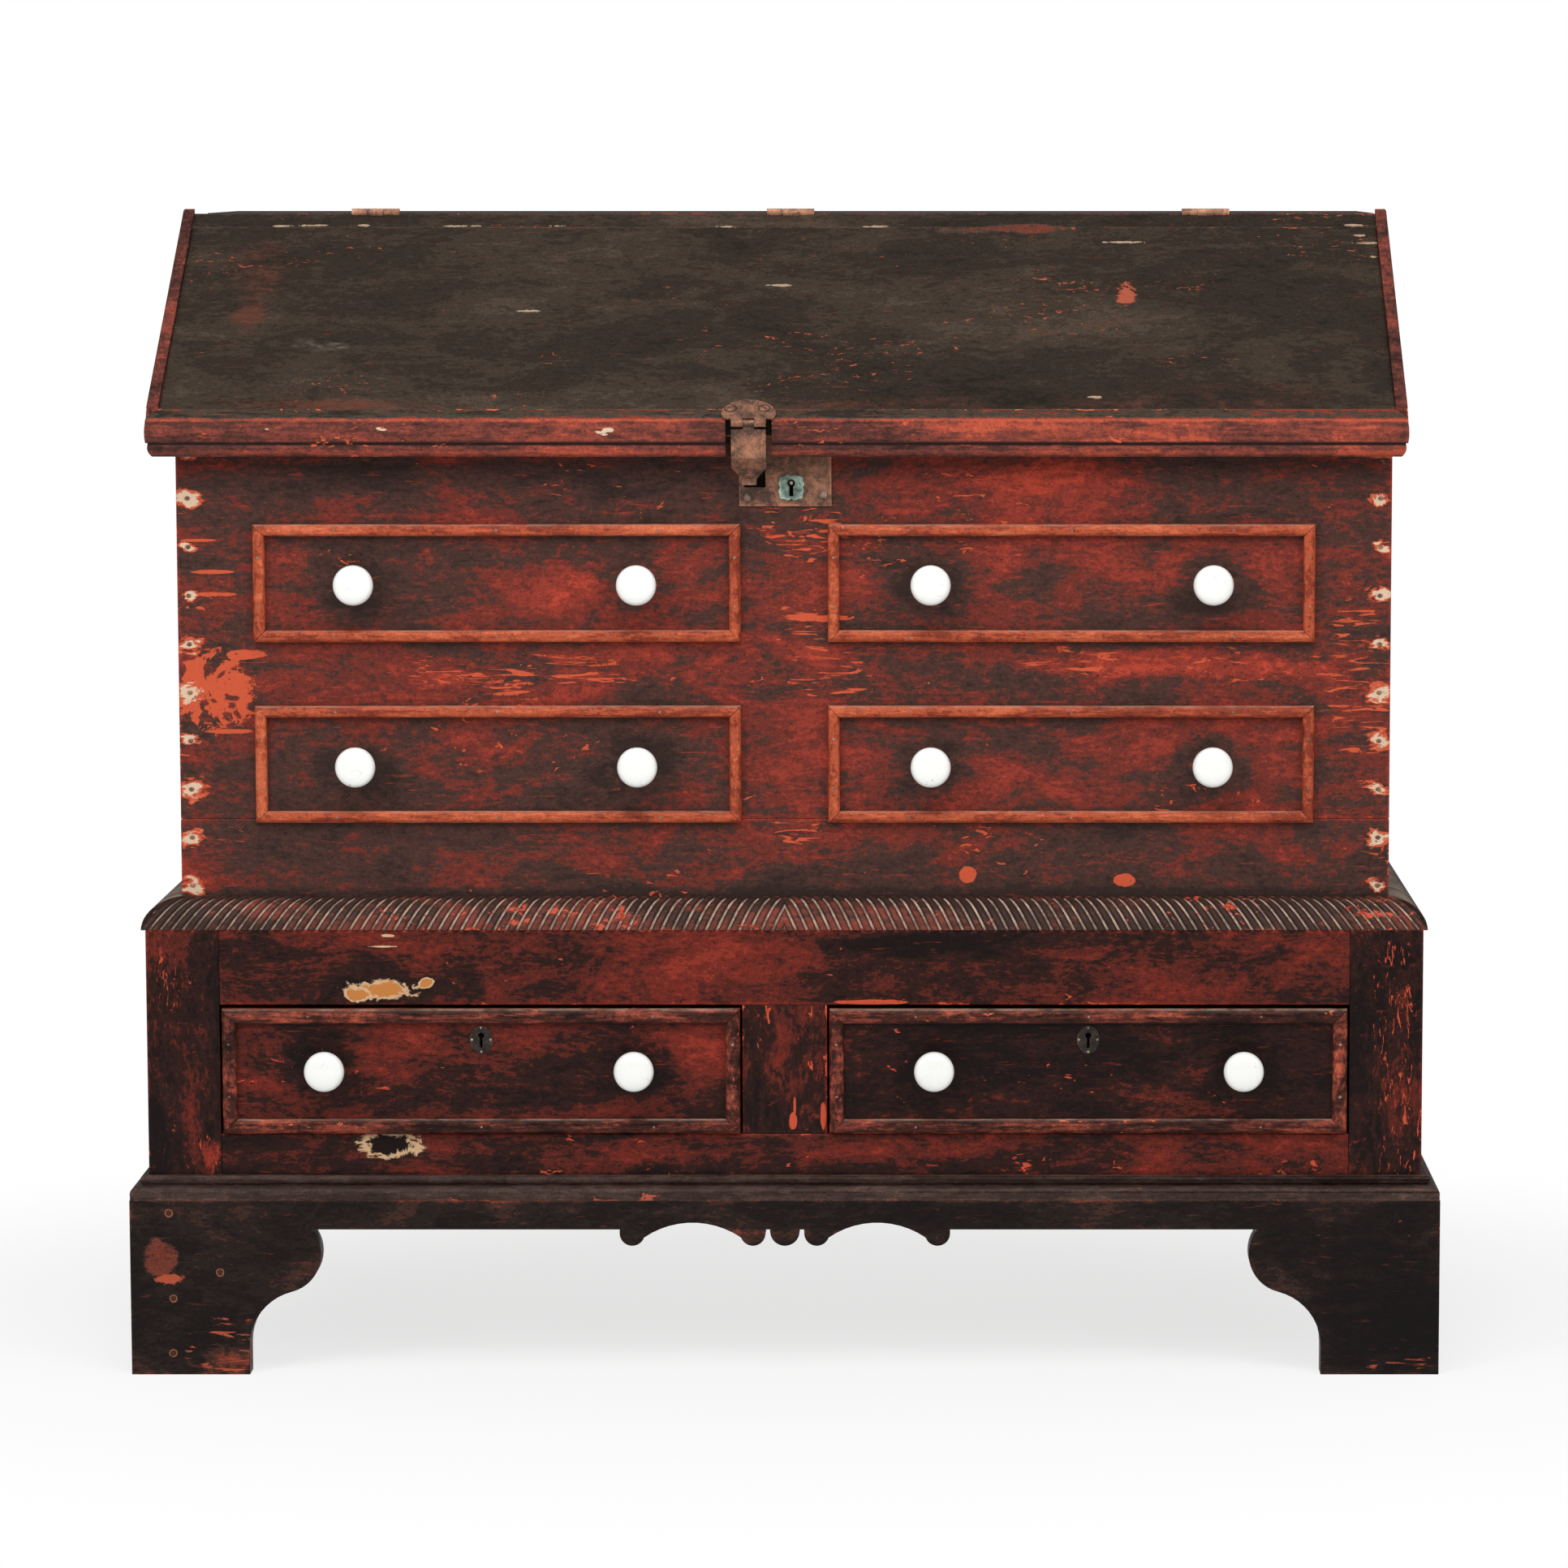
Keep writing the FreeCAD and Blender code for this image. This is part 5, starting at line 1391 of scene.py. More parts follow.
@dataclass
class Boards:
    """Every solid that keeps its shape, softened at its edges and dressed."""

    palette: Palette
    soft: float = 0.0011
    crisp: float = 0.0006
    filed: float = 0.0003
    eased_steps: int = 2
    eased_angle: float = 35.0
    back_skin: float = 0.001
    lid_skin: float = 0.0185
    crown_skin: float = 0.0014
    drawer_skin: float = 0.006

    def dress(self, node: str, material: Material, soft: Optional[float] = None) -> None:
        """Gives a solid its finish and rounds its sharp edges a little, as years of use do.

        Args:
            node: the solid.
            material: its finish.
            soft: how far its edges are rounded, as the class has it where it isn't given.
        """
        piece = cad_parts[node]
        piece.data.materials.clear()
        piece.data.materials.append(material)
        piece.modifiers.new("joined", "WELD").merge_threshold = 1e-5
        width = self.soft if soft is None else soft
        if width > 0:
            eased = piece.modifiers.new("eased", "BEVEL")
            eased.width = width
            eased.segments = self.eased_steps
            eased.limit_method = "ANGLE"
            eased.angle_limit = math.radians(self.eased_angle)
            eased.use_clamp_overlap = True
        LOG.info("solid %s: %s", node, material.name)

    def painted(self, node: str, paint: OldPaint, grain: Grain, soft: Optional[float] = None,
                **more: object) -> None:
        """Paints one solid.

        Args:
            node: the solid.
            paint: its finish.
            grain: the way its grain runs.
            soft: how far its edges are rounded.
            more: spots, skin, nails, seed, balance and crown for the finish.
        """
        self.dress(node, paint.material(node + "_paint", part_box(node), grain, **more), soft)

    def wooden(self, node: str, wood: BareWood, grain: Grain, soft: Optional[float] = None) -> None:
        """Leaves one solid bare."""
        self.dress(node, wood.material(node + "_wood", grain), soft)

    def metallic(self, node: str, metal: OldMetal, word: str, soft: float,
                 spots: Sequence[Spot] = ()) -> None:
        """Gives one solid a metal's finish."""
        self.dress(node, metal.material(f"{node}_{word}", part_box(node), spots), soft)

    def front(self) -> None:
        """Paints the two boards of the chest front."""
        low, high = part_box("front_board_lower")
        face, red = low[1], Loss.FRESH_RED
        # darker halos round the sham knobs, set a little below each: handling grime, and painted shade under
        # the knobs
        spots = on_face(face, ((x, z - 0.004, 0.05, 0.036, 1.1, 0.75, -0.40)
                               for x in SHAM_KNOB_X for z in SHAM_KNOB_Z))
        spots += on_face(face, ((-0.499, 0.598, 0.037, 0.035, 2.0, 0.06),), loss=red, broken=Break.FLAKES)
        spots += on_face(face, (
            (-0.470, 0.629, 0.018, 0.005, 1.4, 0.1), (-0.510, 0.729, 0.016, 0.0015, 1.2, 0.2),
            (-0.498, 0.7015, 0.021, 0.0021, 1.2, 0.2), (-0.497, 0.682, 0.021, 0.0020, 1.4, 0.2),
            (-0.484, 0.562, 0.024, 0.0024, 1.4, 0.2), (0.160, 0.436, 0.008, 0.008, 0.5, 0.1),
            (0.297, 0.431, 0.010, 0.006, 1.0, 0.1), (0.030, 0.661, 0.034, 0.003, 1.8, 0.1),
            (0.050, 0.737, 0.022, 0.002, 1.4, 0.1)), loss=red)
        spots += on_face(face, (
            (0.340, 0.622, 0.16, 0.018, 1.6, 0.6, 0.4), (0.020, 0.56, 0.04, 0.12, 1.2, 0.8, 0.2),
            (-0.160, 0.69, 0.10, 0.035, 1.4, 0.8, 0.30), (0.240, 0.782, 0.10, 0.028, 1.6, 0.8, 0.35),
            (-0.300, 0.782, 0.24, 0.034, 1.2, 0.7, -0.35), (0.0, 0.416, 3.0, 0.012, 1.0, 0.8, -0.45)))
        dashes = ((0.246, 0.624, 0.045, 0.015), (0.391, 0.622, 0.055, 0.017), (0.466, 0.619, 0.024, 0.009),
                  (0.041, 0.616, 0.036, 0.030), (0.012, 0.656, 0.022, 0.022), (0.500, 0.605, 0.028, 0.085),
                  (-0.237, 0.612, 0.110, 0.020), (0.008, 0.473, 0.026, 0.014), (0.015, 0.745, 0.035, 0.030),
                  (-0.486, 0.468, 0.016, 0.012))
        spots += on_face(face, ((*dash, 1.8, 0.1) for dash in dashes), loss=red, broken=Break.DASHES)
        skin = Skin((0, face, 0), FRONTWARD, high[1] - low[1] - self.back_skin)
        for node in ("front_board_lower", "front_board_upper"):
            self.painted(node, self.palette.red, Grain.ACROSS, spots=spots, skin=skin, nails=NailColumn())

    def lower_case(self) -> None:
        """Paints the face frame of the lower case."""
        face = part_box("top_rail")[0][1]
        bare, red = Loss.BARE_WOOD, Loss.FRESH_RED
        spots = on_face(face, ((-0.353, 0.3380, 0.029, 0.009, 2.8, 0.1),
                               (-0.372, 0.3345, 0.013, 0.007, 2.4, 0.1),
                               (-0.313, 0.3445, 0.007, 0.005, 2.4, 0.1)), loss=bare, core=shade(190, 122, 62))
        spots += on_face(face, ((-0.345, 0.3860, 0.006, 0.0012, 4.5, 0.1),
                                (-0.349, 0.3765, 0.014, 0.0007, 4.5, 0.1)), loss=bare)
        spots += on_face(face, ((0.075, 0.3275, 0.034, 0.0022, 1.4, 0.1),), loss=red)
        spots += on_face(face, ((-0.02, 0.362, 0.14, 0.022, 1.8, 0.7, 0.15),
                                (0.10, 0.380, 0.14, 0.012, 2.2, 0.8, -0.25)))
        self.painted("top_rail", self.palette.case_red, Grain.ACROSS, spots=spots, seed=3.0, balance=0.08)
        spots = on_face(face, ((0.007, 0.2225, 0.0036, 0.008, 1.0, 0.1),
                               (0.0085, 0.2355, 0.0012, 0.009, 1.6, 0.1),
                               (0.0335, 0.2275, 0.0026, 0.013, 1.2, 0.1)), loss=red)
        self.painted("centre_muntin", self.palette.case_red, Grain.UPRIGHT, spots=spots, seed=5.0)
        spots = on_face(face, ((-0.347, 0.2015, 0.031, 0.0125, 2.2, 0.1),), loss=bare, core=shade(26, 16, 13))
        spots += on_face(face, ((0.0, 0.195, 0.5, 0.016, 1.4, 0.9, 0.15),))
        self.painted("bottom_rail", self.palette.case_red, Grain.ACROSS, spots=spots, seed=7.0)
        spots = on_face(face, ((-0.502, 0.192, 0.008, 0.014, 4.5, 0.4, 0.5),
                               (0.535, 0.30, 0.014, 0.07, 2.2, 0.6, 0.3)))
        splinters = ((0.532, 0.325, 0.085), (0.537, 0.215, 0.085), (-0.535, 0.350, 0.030),
                     (-0.505, 0.192, 0.018))
        spots += on_face(face, ((x, z, 0.020, tall, 1.8, 0.1) for x, z, tall in splinters), loss=red,
                         broken=Break.SPLINTERS)
        self.painted("front_stiles", self.palette.case_red, Grain.UPRIGHT, spots=spots, seed=9.0,
                     balance=-0.12)

    def sides(self) -> None:
        """Paints the sides of both cases outside."""
        for side, sign in SIDES:
            for case, paint in (("lower", self.palette.case_red), ("upper", self.palette.red)):
                node = f"{case}_side_{side}"
                near, reach = sorted(abs(corner[0]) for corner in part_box(node))
                skin = Skin((sign * reach, 0, 0), (sign, 0, 0), reach - near - self.back_skin)
                self.painted(node, paint, Grain.UPRIGHT, skin=skin, seed=11.0 + sign)

    def base(self) -> None:
        """Paints the bracket base and its moulding."""
        face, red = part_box("bracket_base_front")[0][1], Loss.FRESH_RED
        spots = on_face(face, ((-0.540, 0.085, 0.013, 0.005, 2.4, 0.2),), loss=red)
        spots += on_face(face, ((-0.493, 0.024, 0.036, 0.026, 2.2, 0.2),
                                (0.535, 0.012, 0.03, 0.012, 2.2, 0.2)), loss=red, broken=Break.DASHES)
        # the third row here darkens the right foot: painted shade
        spots += on_face(face, (
            (-0.546, 0.104, 0.017, 0.020, 1.2, 0.2, 0.55), (-0.482, 0.014, 0.034, 0.022, 2.2, 0.7, 0.55),
            (0.52, 0.06, 0.09, 0.08, 1.2, 0.7, -0.5), (0.0, 0.124, 0.14, 0.006, 2.8, 0.5, 0.25)))
        holes = ((-0.538, 0.1435), (-0.494, 0.0905), (-0.535, 0.0675), (-0.536, 0.019))
        spots += on_face(face, ((x, z, 0.0042, 0.0042, 1.0, 0.4) for x, z in holes), loss=Loss.BARE_WOOD,
                         core=shade(74, 38, 28))
        self.painted("bracket_base_front", self.palette.base, Grain.ACROSS, spots=spots, seed=13.0)
        self.painted("bracket_base_left", self.palette.base, Grain.DEEP, seed=14.0)
        self.painted("bracket_base_right", self.palette.base, Grain.DEEP, seed=15.0)
        self.painted("base_moulding", self.palette.moulding, Grain.ACROSS, seed=17.0, soft=0.0)
        for node in ("rear_foot_brackets", "foot_glue_blocks"):
            self.wooden(node, self.palette.hidden, Grain.ACROSS)

    def lid(self) -> None:
        """Paints the lid and the fixed top behind it."""
        spots = [on_lid(*row) for row in (
            (-0.47, 0.085, (0.035, 0.07, 0.05), Loss.THIN_RED, 1.8, 0.8),
            (-0.475, 0.16, (0.02, 0.04, 0.03), Loss.THIN_RED, 2.0, 0.8),
            (0.210, 0.025, (0.040, 0.010, 0.007), None, 1.6, 0.3, 0.55),
            (0.155, 0.029, (0.035, 0.005, 0.004), None, 2.0, 0.5, 0.45),
            (0.30, 0.13, (0.009, 0.018, 0.012), Loss.FRESH_RED, 4.5, 0.15),
            (0.17, 0.300, (0.20, 0.03, 0.02), Loss.THIN_RED, 2.4, 0.7),
            (0.38, 0.285, (0.10, 0.03, 0.02), Loss.THIN_RED, 2.4, 0.8),
            (-0.40, 0.300, (0.12, 0.02, 0.014), Loss.THIN_RED, 2.4, 0.8),
            (-0.405, 0.205, (0.035, 0.014, 0.01), Loss.DUST, 1.4, 0.9))]
        dashes = ((-0.458, 0.021, 0.010), (-0.43, 0.020, 0.012), (-0.385, 0.020, 0.005),
                  (-0.30, 0.021, 0.016), (-0.21, 0.021, 0.006), (-0.06, 0.022, 0.010), (0.075, 0.022, 0.014),
                  (0.30, 0.047, 0.016), (0.511, 0.020, 0.009), (0.513, 0.036, 0.006), (0.519, 0.048, 0.012),
                  (0.525, 0.070, 0.004), (-0.01, 0.115, 0.010), (-0.23, 0.155, 0.010), (0.27, 0.285, 0.006))
        spots += [on_lid(x, down, (wide, 0.0019, 0.0014), Loss.BARE_WOOD, 5.0, 0.15)
                  for x, down, wide in dashes]
        for seed, node in ((21.0, "lid_board"), (22.0, "lid_hinge_strip")):
            self.painted(node, self.palette.lid, Grain.ACROSS, spots=spots, seed=seed,
                         skin=Skin(LID_TOP, LID_OUT, self.lid_skin))
        low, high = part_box("top_board")
        self.painted("top_board", self.palette.lid, Grain.ACROSS, seed=24.0,
                     skin=Skin((0, 0, high[2]), (0, 0, 1), high[2] - low[2] - self.back_skin))

    def lip(self) -> None:
        """Paints the lid's lip, whose sloping top has the lid's paint, and the side mouldings."""
        (_, face, foot), (_, _, top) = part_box("lid_lip")
        spots = on_face(face, ((0, top - 0.0085, 3.0, 0.0030, 2.0, 0.8, 0.45),), deep=0.006)
        # the first row here is painted shade: a dark band along the groove above the bottom bead
        spots += on_face(face, (
            (0, foot + 0.0115, 3.0, 0.0022, 0.6, 0.5, -0.8), (0, foot + 0.0035, 3.0, 0.003, 1.8, 0.8, 0.3),
            (0.25, foot + 0.02, 0.3, 0.02, 1.4, 0.8, 0.2), (0.16, foot + 0.026, 0.10, 0.006, 2.4, 0.6, 0.35)))
        splashes = ((-0.157, 0.0215, 0.005, 0.0014), (-0.151, 0.0235, 0.004, 0.0018),
                    (-0.154, 0.0195, 0.003, 0.0010), (-0.349, 0.0250, 0.003, 0.0010),
                    (-0.345, 0.0238, 0.003, 0.0009), (-0.445, 0.0240, 0.003, 0.0008))
        spots += on_face(face, ((x, foot + up, wide, tall, 5.0, 0.15) for x, up, wide, tall in splashes),
                         loss=Loss.BARE_WOOD)
        lid = self.palette.lid
        crown = Crown(Skin(LID_TOP, LID_OUT, self.crown_skin), lid.deep, lid.rubbed, shade(122, 52, 38))
        self.painted("lid_lip", self.palette.lip, Grain.ACROSS, spots=spots, seed=25.0, crown=crown)
        self.painted("lid_side_mouldings", self.palette.lip, Grain.DEEP, seed=27.0)

    def drawers(self) -> None:
        """Paints the drawer fronts and leaves their boxes bare."""
        for (side, sign), balance in zip(SIDES, (0.12, -0.20)):
            front = f"drawer_{side}_front"
            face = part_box(front)[0][1]
            # darker halos round the knobs, set a little below each: handling grime, and painted shade under
            # the knobs
            grime_and_shade_halos = on_face(face, ((sign * x, 0.268, 0.05, 0.038, 0.9, 0.8, -0.35) for x in DRAWER_KNOB_X))
            self.painted(front, self.palette.case_red, Grain.ACROSS, soft=0.0, spots=grime_and_shade_halos, seed=31.0 + sign,
                         balance=balance, skin=Skin((0, face, 0), FRONTWARD, self.drawer_skin))
            for part, grain in (("sides", Grain.DEEP), ("back", Grain.ACROSS), ("bottom", Grain.ACROSS)):
                self.wooden(f"drawer_{side}_{part}", self.palette.bare, grain, self.crisp)

    def inside(self) -> None:
        """Leaves the hidden boards bare."""
        for node, grain in (("well_floor", Grain.ACROSS), ("lower_top", Grain.ACROSS),
                            ("drawer_runners", Grain.DEEP), ("drawer_guides", Grain.DEEP)):
            self.wooden(node, self.palette.bare, grain, self.crisp)
        for node in ("lower_back", "upper_back"):
            self.wooden(node, self.palette.back, Grain.ACROSS, self.crisp)

    def metal(self) -> None:
        """Dresses the ironwork and the brass."""
        plate, strap = (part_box(node)[0][1] for node in ("lock_plate", "hasp_strap"))
        # lighter and darker bands on the ironwork: on the hasp strap they are painted light, a painted
        # highlight at its bend near z 0.8075 and painted shade above and below it; on the lock plate they are
        # lighter and darker patches
        stains_and_painted_light = {"lock_plate": on_face(plate, ((0.022, 0.795, 0.020, 0.014, 1.0, 0.8, 0.06),
                                                (-0.028, 0.772, 0.018, 0.018, 1.0, 0.8, -0.08),
                                                (0.012, 0.815, 0.030, 0.007, 1.0, 0.8, -0.08)), deep=0.03),
                  "hasp_strap": on_face(strap, ((-0.027, 0.8075, 0.014, 0.009, 1.0, 0.8, 0.08),
                                                (-0.029, 0.827, 0.030, 0.008, 1.0, 0.8, -0.09)), deep=0.03)}
        stains_and_painted_light["hasp_strap"] += on_face(strap, ((-0.029, 0.786, 0.020, 0.010, 1.0, 0.8, -0.09),))
        for node in ("lock_plate", "hasp_leaf", "hasp_strap", "sham_knob_spindles"):
            self.metallic(node, self.palette.iron, "iron", self.filed, stains_and_painted_light.get(node, ()))
        for node in ("top_hinge_leaves", "lid_hinge_leaves"):
            self.metallic(node, self.palette.rust, "rust", self.filed)
        self.metallic("lock_case", self.palette.black_iron_and_hole_shade, "iron", 0.0)
        for side, _ in SIDES:
            self.metallic(f"drawer_{side}_knob_spindles", self.palette.iron, "iron", 0.0)
            self.metallic(f"drawer_{side}_lock", self.palette.black_iron_and_hole_shade, "iron", 0.0)
            self.metallic(f"drawer_{side}_keyhole_plate", self.palette.brass, "brass", self.filed)

    def build(self) -> None:
        """Dresses every solid in turn."""
        for step in (self.front, self.lower_case, self.sides, self.base, self.lid, self.lip, self.drawers,
                     self.inside, self.metal):
            step()


@dataclass
class Fixings:
    """Screws, nails and pins that hold ironwork, plates and boards; a head is a radius and a height."""

    palette: Palette
    leaf: Point = (-0.0295, -0.225, 0.8321)
    leaf_up: float = 0.018
    leaf_out: float = 0.00318
    screw: float = 0.0046
    screw_height: float = 0.0013
    rim_share: float = 1.2
    rim_height: float = 0.0005
    screw_x: Sequence[float] = (-0.0159, 0.0133)
    slot_turns: Sequence[float] = (0.5, -0.9)
    slot_out: float = 0.00105
    slot_size: Point = (0.0069, 0.0010, 0.0006)
    lock_nails: Sequence[tuple[float, float]] = ((-0.0318, 0.7663), (0.0343, 0.7682))
    key_pin: tuple[float, float] = (0.0065, 0.7790)
    key_pin_sunk: float = 0.0022
    back_inset: float = 0.0055
    back_margin: float = 0.03
    lock_nail_head: tuple[float, float] = (0.0034, 0.0022)
    key_pin_head: tuple[float, float] = (0.0016, 0.0014)
    edge_nail_head: tuple[float, float] = (0.0019, 0.0006)
    back_nail_head: tuple[float, float] = (0.0034, 0.0005)
    plate_pin_head: tuple[float, float] = (0.0011, 0.0007)
    plate_pins: Sequence[tuple[float, float]] = ((0, 0.0105), (0, -0.0105), (0.008, 0), (-0.008, 0))

    def heads(self, name: str, body: str, places: Sequence[Vector], radius: float, height: float,
              metal: OldMetal, slot: Slot = Slot.IRON, sides: int = 20, outward: Point = FRONTWARD) -> None:
        """Sets a row of domed heads on a face.

        Args:
            name: the piece's name.
            body: the body it moves with.
            places: where the heads sit.
            radius: a head's radius.
            height: how far a head stands out.
            metal: the heads' finish.
            slot: the record's slot of the finish; not used.
            sides: how many sides a head has.
            outward: the way the face looks.
        """
        made = bmesh.new()
        shares = ((-0.3, 0.0), (-0.3, 1.0), (0.25, 1.0), (0.62, 0.86), (0.88, 0.55), (1.0, 0.0))
        profile = [(out * height, wide * radius) for out, wide in shares]
        for place in places:
            turned_shape(made, profile, place, sides, outward)
        around = [Vector([pick(place[axis] for place in places) + side * radius for axis in range(3)])
                  for pick, side in ((min, -1), (max, 1))]
        shell(made, name, [metal.material(name + "_metal", around)], body, crease=50.0)

    def hasp(self) -> None:
        """Sets the two screws of the hasp's leaf, each with a dark rim and a dark slot bar: painted shade
        under the head's edge and in the slot.
        """
        out = Vector(LID_OUT)
        up = Vector((0.0, math.cos(LID_SLOPE), math.sin(LID_SLOPE)))
        middle = Vector(self.leaf) + up * self.leaf_up + out * self.leaf_out
        places = [middle + Vector((x, 0, 0)) for x in self.screw_x]
        # dark rims round the screw heads: painted shade under their edges
        self.heads("hasp_screw_shade_rims", "lid", places, self.rim_share * self.screw, self.rim_height,
                   self.palette.brass, sides=24, outward=LID_OUT)
        self.heads("hasp_screws", "lid", places, self.screw, self.screw_height, self.palette.iron, sides=24,
                   outward=LID_OUT)
        # dark bars across the heads: painted shade in the screw slots
        made = bmesh.new()
        tops = [place + out * self.slot_out for place in places]
        lie = Vector((0, 0, 1)).rotation_difference(out).to_matrix().to_4x4()
        size = Matrix.Diagonal((*self.slot_size, 1.0))
        for top, turn in zip(tops, self.slot_turns):
            slot = Matrix.Translation(top) @ lie @ Matrix.Rotation(turn, 4, "Z") @ size
            bmesh.ops.create_cube(made, size=1.0, matrix=slot)
        finish = self.palette.brass.material("screw_slot_painted_shade", tops)
        shell(made, "hasp_screw_slot_shades", [finish], "lid")

    def lock(self) -> None:
        """Sets the nails of the lock plate and the pin that the key turns on."""
        plate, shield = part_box("lock_plate")[0][1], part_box("lock_keyhole_plate")[0][1]
        places = [Vector((x, plate, z)) for x, z in self.lock_nails]
        self.heads("lock_plate_nails", "case", places, *self.lock_nail_head, self.palette.worn_nail)
        x, z = self.key_pin
        self.heads("lock_key_pin", "case", [Vector((x, shield + self.key_pin_sunk, z))], *self.key_pin_head,
                   self.palette.worn_nail, sides=16)

    def nails(self) -> None:
        """Nails the front to the sides, and both backs."""
        row, front = NailColumn(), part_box("front_board_upper")[0][1]
        places = [Vector((side * row.column, front, row.first + row.spacing * index))
                  for index in range(row.count) for side in (-1, 1)]
        self.heads("edge_nails", "case", places, *self.edge_nail_head, self.palette.iron, sides=10)
        inset, margin = self.back_inset, self.back_margin
        for name, count in (("upper_back", 8), ("lower_back", 3)):
            low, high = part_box(name)
            rise = (high[2] - low[2] - 2 * margin) / (count - 1)
            places = [Vector((x, high[1], low[2] + margin + rise * index)) for index in range(count)
                      for x in (low[0] + inset, high[0] - inset)]
            self.heads(name + "_nails", "case", places, *self.back_nail_head, self.palette.iron, sides=10,
                       outward=(0.0, 1.0, 0.0))

    def pins(self) -> None:
        """Pins the drawers' keyhole plates."""
        for side, _ in SIDES:
            low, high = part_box(f"drawer_{side}_keyhole_plate")
            x, z = (low[0] + high[0]) / 2, (low[2] + high[2]) / 2
            places = [Vector((x + dx, low[1], z + dz)) for dx, dz in self.plate_pins]
            self.heads(f"drawer_{side}_plate_pins", f"drawer_{side}", places, *self.plate_pin_head,
                       self.palette.pin_brass, Slot.BRASS, 10)

    def build(self) -> None:
        """Sets every screw, nail and pin."""
        for step in (self.hasp, self.lock, self.nails, self.pins):
            step()


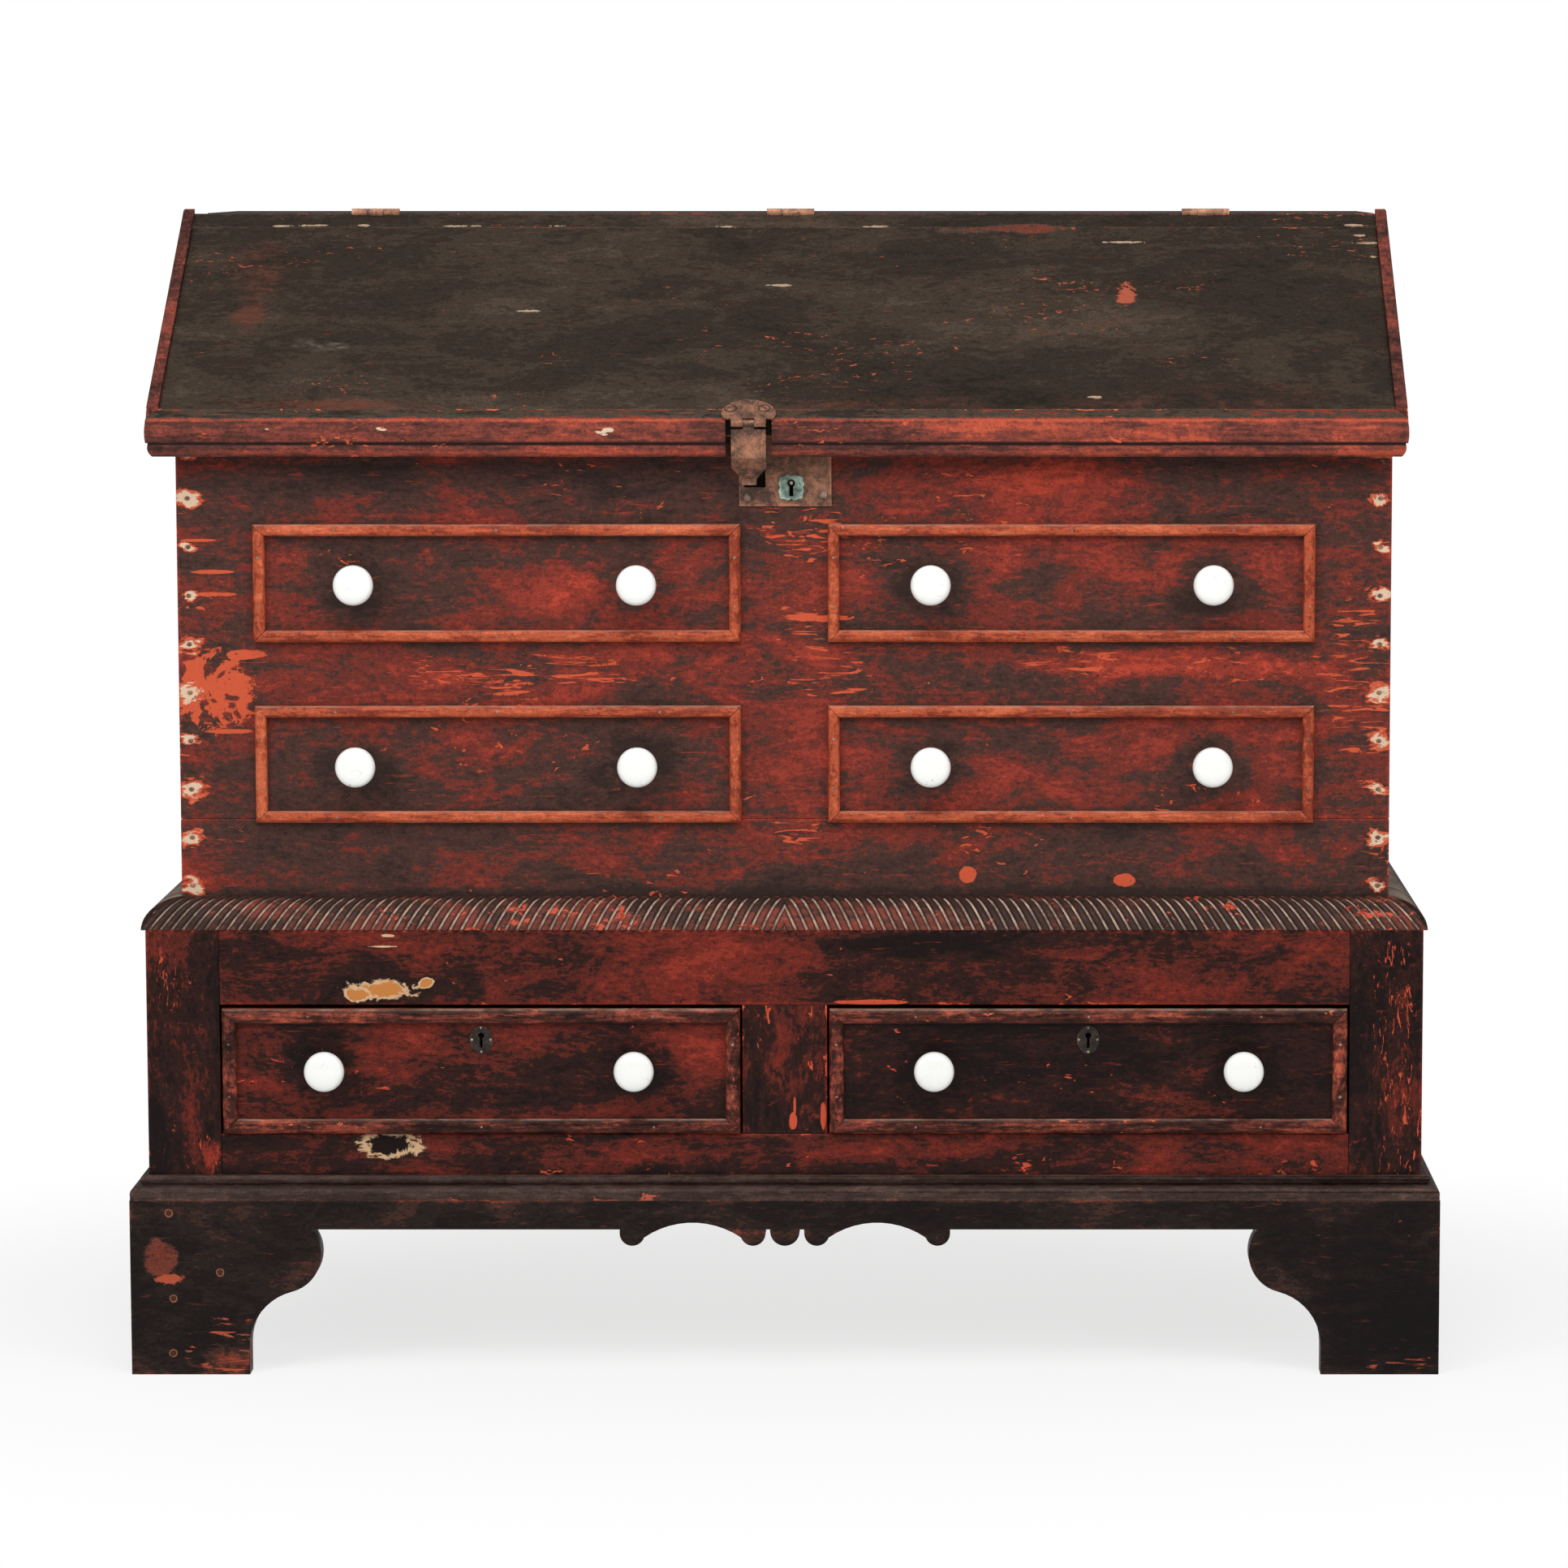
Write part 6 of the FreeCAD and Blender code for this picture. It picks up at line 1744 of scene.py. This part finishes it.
@dataclass
class Studio:
    """The pale floor, the soft lamps and the camera."""

    eye: Point = (0.1404, -4.968, 1.0556)
    pitch: float = 6.45
    lens: float = 126.24
    sensor: float = 36.0
    shift: float = -0.103
    aim: Point = (0, 0, 0.55)
    floor_half: float = 6.0
    floor_grey: Colour = (0.86, 0.86, 0.86, 1)
    shadow_span: tuple[float, float] = (0.25, 0.85)
    shadow_white: float = 0.75
    shadow_stretch: Point = (0.62, 0.9, 1.0)
    ambient: float = 0.24
    lamps: Sequence[tuple[str, Point, float, float]] = (("left_lamp", (-2.5, -2.9, 2.6), 1.5, 56.0),
                                                        ("right_lamp", (2.7, -2.8, 2.5), 1.5, 48.0),
                                                        ("top_lamp", (0.0, -1.9, 3.3), 1.8, 62.0))

    def floor(self) -> None:
        """Lays a white floor that keeps the chest's soft shadow."""
        made = bmesh.new()
        bmesh.ops.create_grid(made, x_segments=4, y_segments=4, size=self.floor_half)
        mesh = bpy.data.meshes.new("studio_floor")
        made.to_mesh(mesh)
        made.free()
        finish = Surface("floor_white")
        away = finish.vector("LENGTH", finish.vector("MULTIPLY", finish.point, self.shadow_stretch))
        far = finish.span(away, *self.shadow_span, self.shadow_white, 1.0)
        path = finish.node("LightPath").outputs
        seen = finish.sum("MAXIMUM", path["Is Camera Ray"],
                          finish.sum("MAXIMUM", path["Is Glossy Ray"], path["Is Transmission Ray"]))
        matt = finish.node("BsdfDiffuse", {"Color": self.floor_grey})
        mixed = finish.node("MixShader", {0: finish.sum("MULTIPLY", far, seen), 1: matt.outputs[0],
                                          2: finish.node("Emission").outputs[0]})
        finish.node("OutputMaterial", {0: mixed.outputs[0]})
        mesh.materials.append(finish.material)
        floor = placed("studio_floor", mesh)

    def light(self) -> None:
        """Sets a white world and three soft lamps."""
        world = bpy.data.worlds.new("studio_white")
        bpy.context.scene.world = world
        world.use_nodes = True
        world.node_tree.nodes.clear()
        tree = Tree(world.node_tree)
        seen = tree.node("LightPath").outputs["Is Camera Ray"]
        strength = tree.span(seen, 0.0, 1.0, self.ambient, 1.0, smooth=False)
        back = tree.node("Background", {"Color": (1, 1, 1, 1), "Strength": strength})
        tree.node("OutputWorld", {0: back.outputs[0]})
        for name, place, size, power in self.lamps:
            lamp = bpy.data.lights.new(name, "AREA")
            lamp.shape = "SQUARE"
            lamp.size = size
            lamp.energy = power
            holder = placed(name, lamp)
            holder.location = place
            holder.rotation_euler = (Vector(self.aim) - Vector(place)).to_track_quat("-Z", "Y").to_euler()

    def camera(self) -> None:
        """Stands the camera where the photograph was taken."""
        view = bpy.data.cameras.new("view")
        view.lens = self.lens
        view.sensor_width = self.sensor
        view.shift_x = self.shift
        holder = placed("view", view)
        holder.location = self.eye
        holder.rotation_euler = (math.radians(90 - self.pitch), 0, 0)
        bpy.context.scene.camera = holder
        bpy.context.scene.view_settings.view_transform = "Standard"

    def build(self) -> None:
        """Sets up the whole studio."""
        for step in (self.floor, self.light, self.camera):
            step()


def knob_sets() -> list[KnobSet]:
    """Gives the knobs of the sham drawers and of the two drawers.

    Returns:
        The three sets of knobs.
    """
    sham = [(x, z) for z in SHAM_KNOB_Z for x in SHAM_KNOB_X]
    sets = [KnobSet("sham_porcelain_knobs", "sham_knobs", "case", sham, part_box("front_board_upper")[0][1])]
    for side, sign in SIDES:
        drawer = f"drawer_{side}"
        places = [(sign * x, DRAWER_KNOB_Z) for x in DRAWER_KNOB_X]
        sets.append(KnobSet(drawer + "_porcelain_knobs", drawer + "_knobs", drawer, places,
                            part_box(drawer + "_front")[0][1]))
    return sets


def frame_sets(palette: Palette) -> list[StripFrames]:
    """Gives the nailed frames of the sham drawers and of the two drawers.

    Args:
        palette: the chest's finishes.

    Returns:
        The four sets of frames.
    """
    sets = []
    inner, sham_width, drawer_width = 0.038, 0.010, 0.0125
    for seed, row in ((41.0, "lower"), (43.0, "upper")):
        low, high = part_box(f"sham_frames_{row}")
        panels = [(low[0], -inner, low[2], high[2]), (inner, high[0], low[2], high[2])]
        sets.append(StripFrames(f"sham_{row}_strips", f"sham_frames_{row}", "case", panels, high[1],
                                sham_width, high[1] - low[1], palette.strip, seed))
    for seed, side in ((45.0, "left"), (47.0, "right")):
        drawer = f"drawer_{side}"
        low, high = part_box(drawer + "_frame")
        sets.append(StripFrames(drawer + "_strips", drawer + "_frame", drawer,
                                [(low[0], high[0], low[2], high[2])], high[1], drawer_width,
                                high[1] - low[1], palette.drawer_strip, seed))
    return sets


def main() -> None:
    """Builds the studio and dresses the chest, piece by piece."""
    logging.basicConfig(level=logging.INFO, format="%(message)s")
    palette = Palette()
    Studio().build()
    Boards(palette).build()
    for pieces in (*knob_sets(), *frame_sets(palette), RopeMoulding(), KeyShield()):
        pieces.build(palette)
    Fixings(palette).build()


if __name__ == "__main__":
    main()
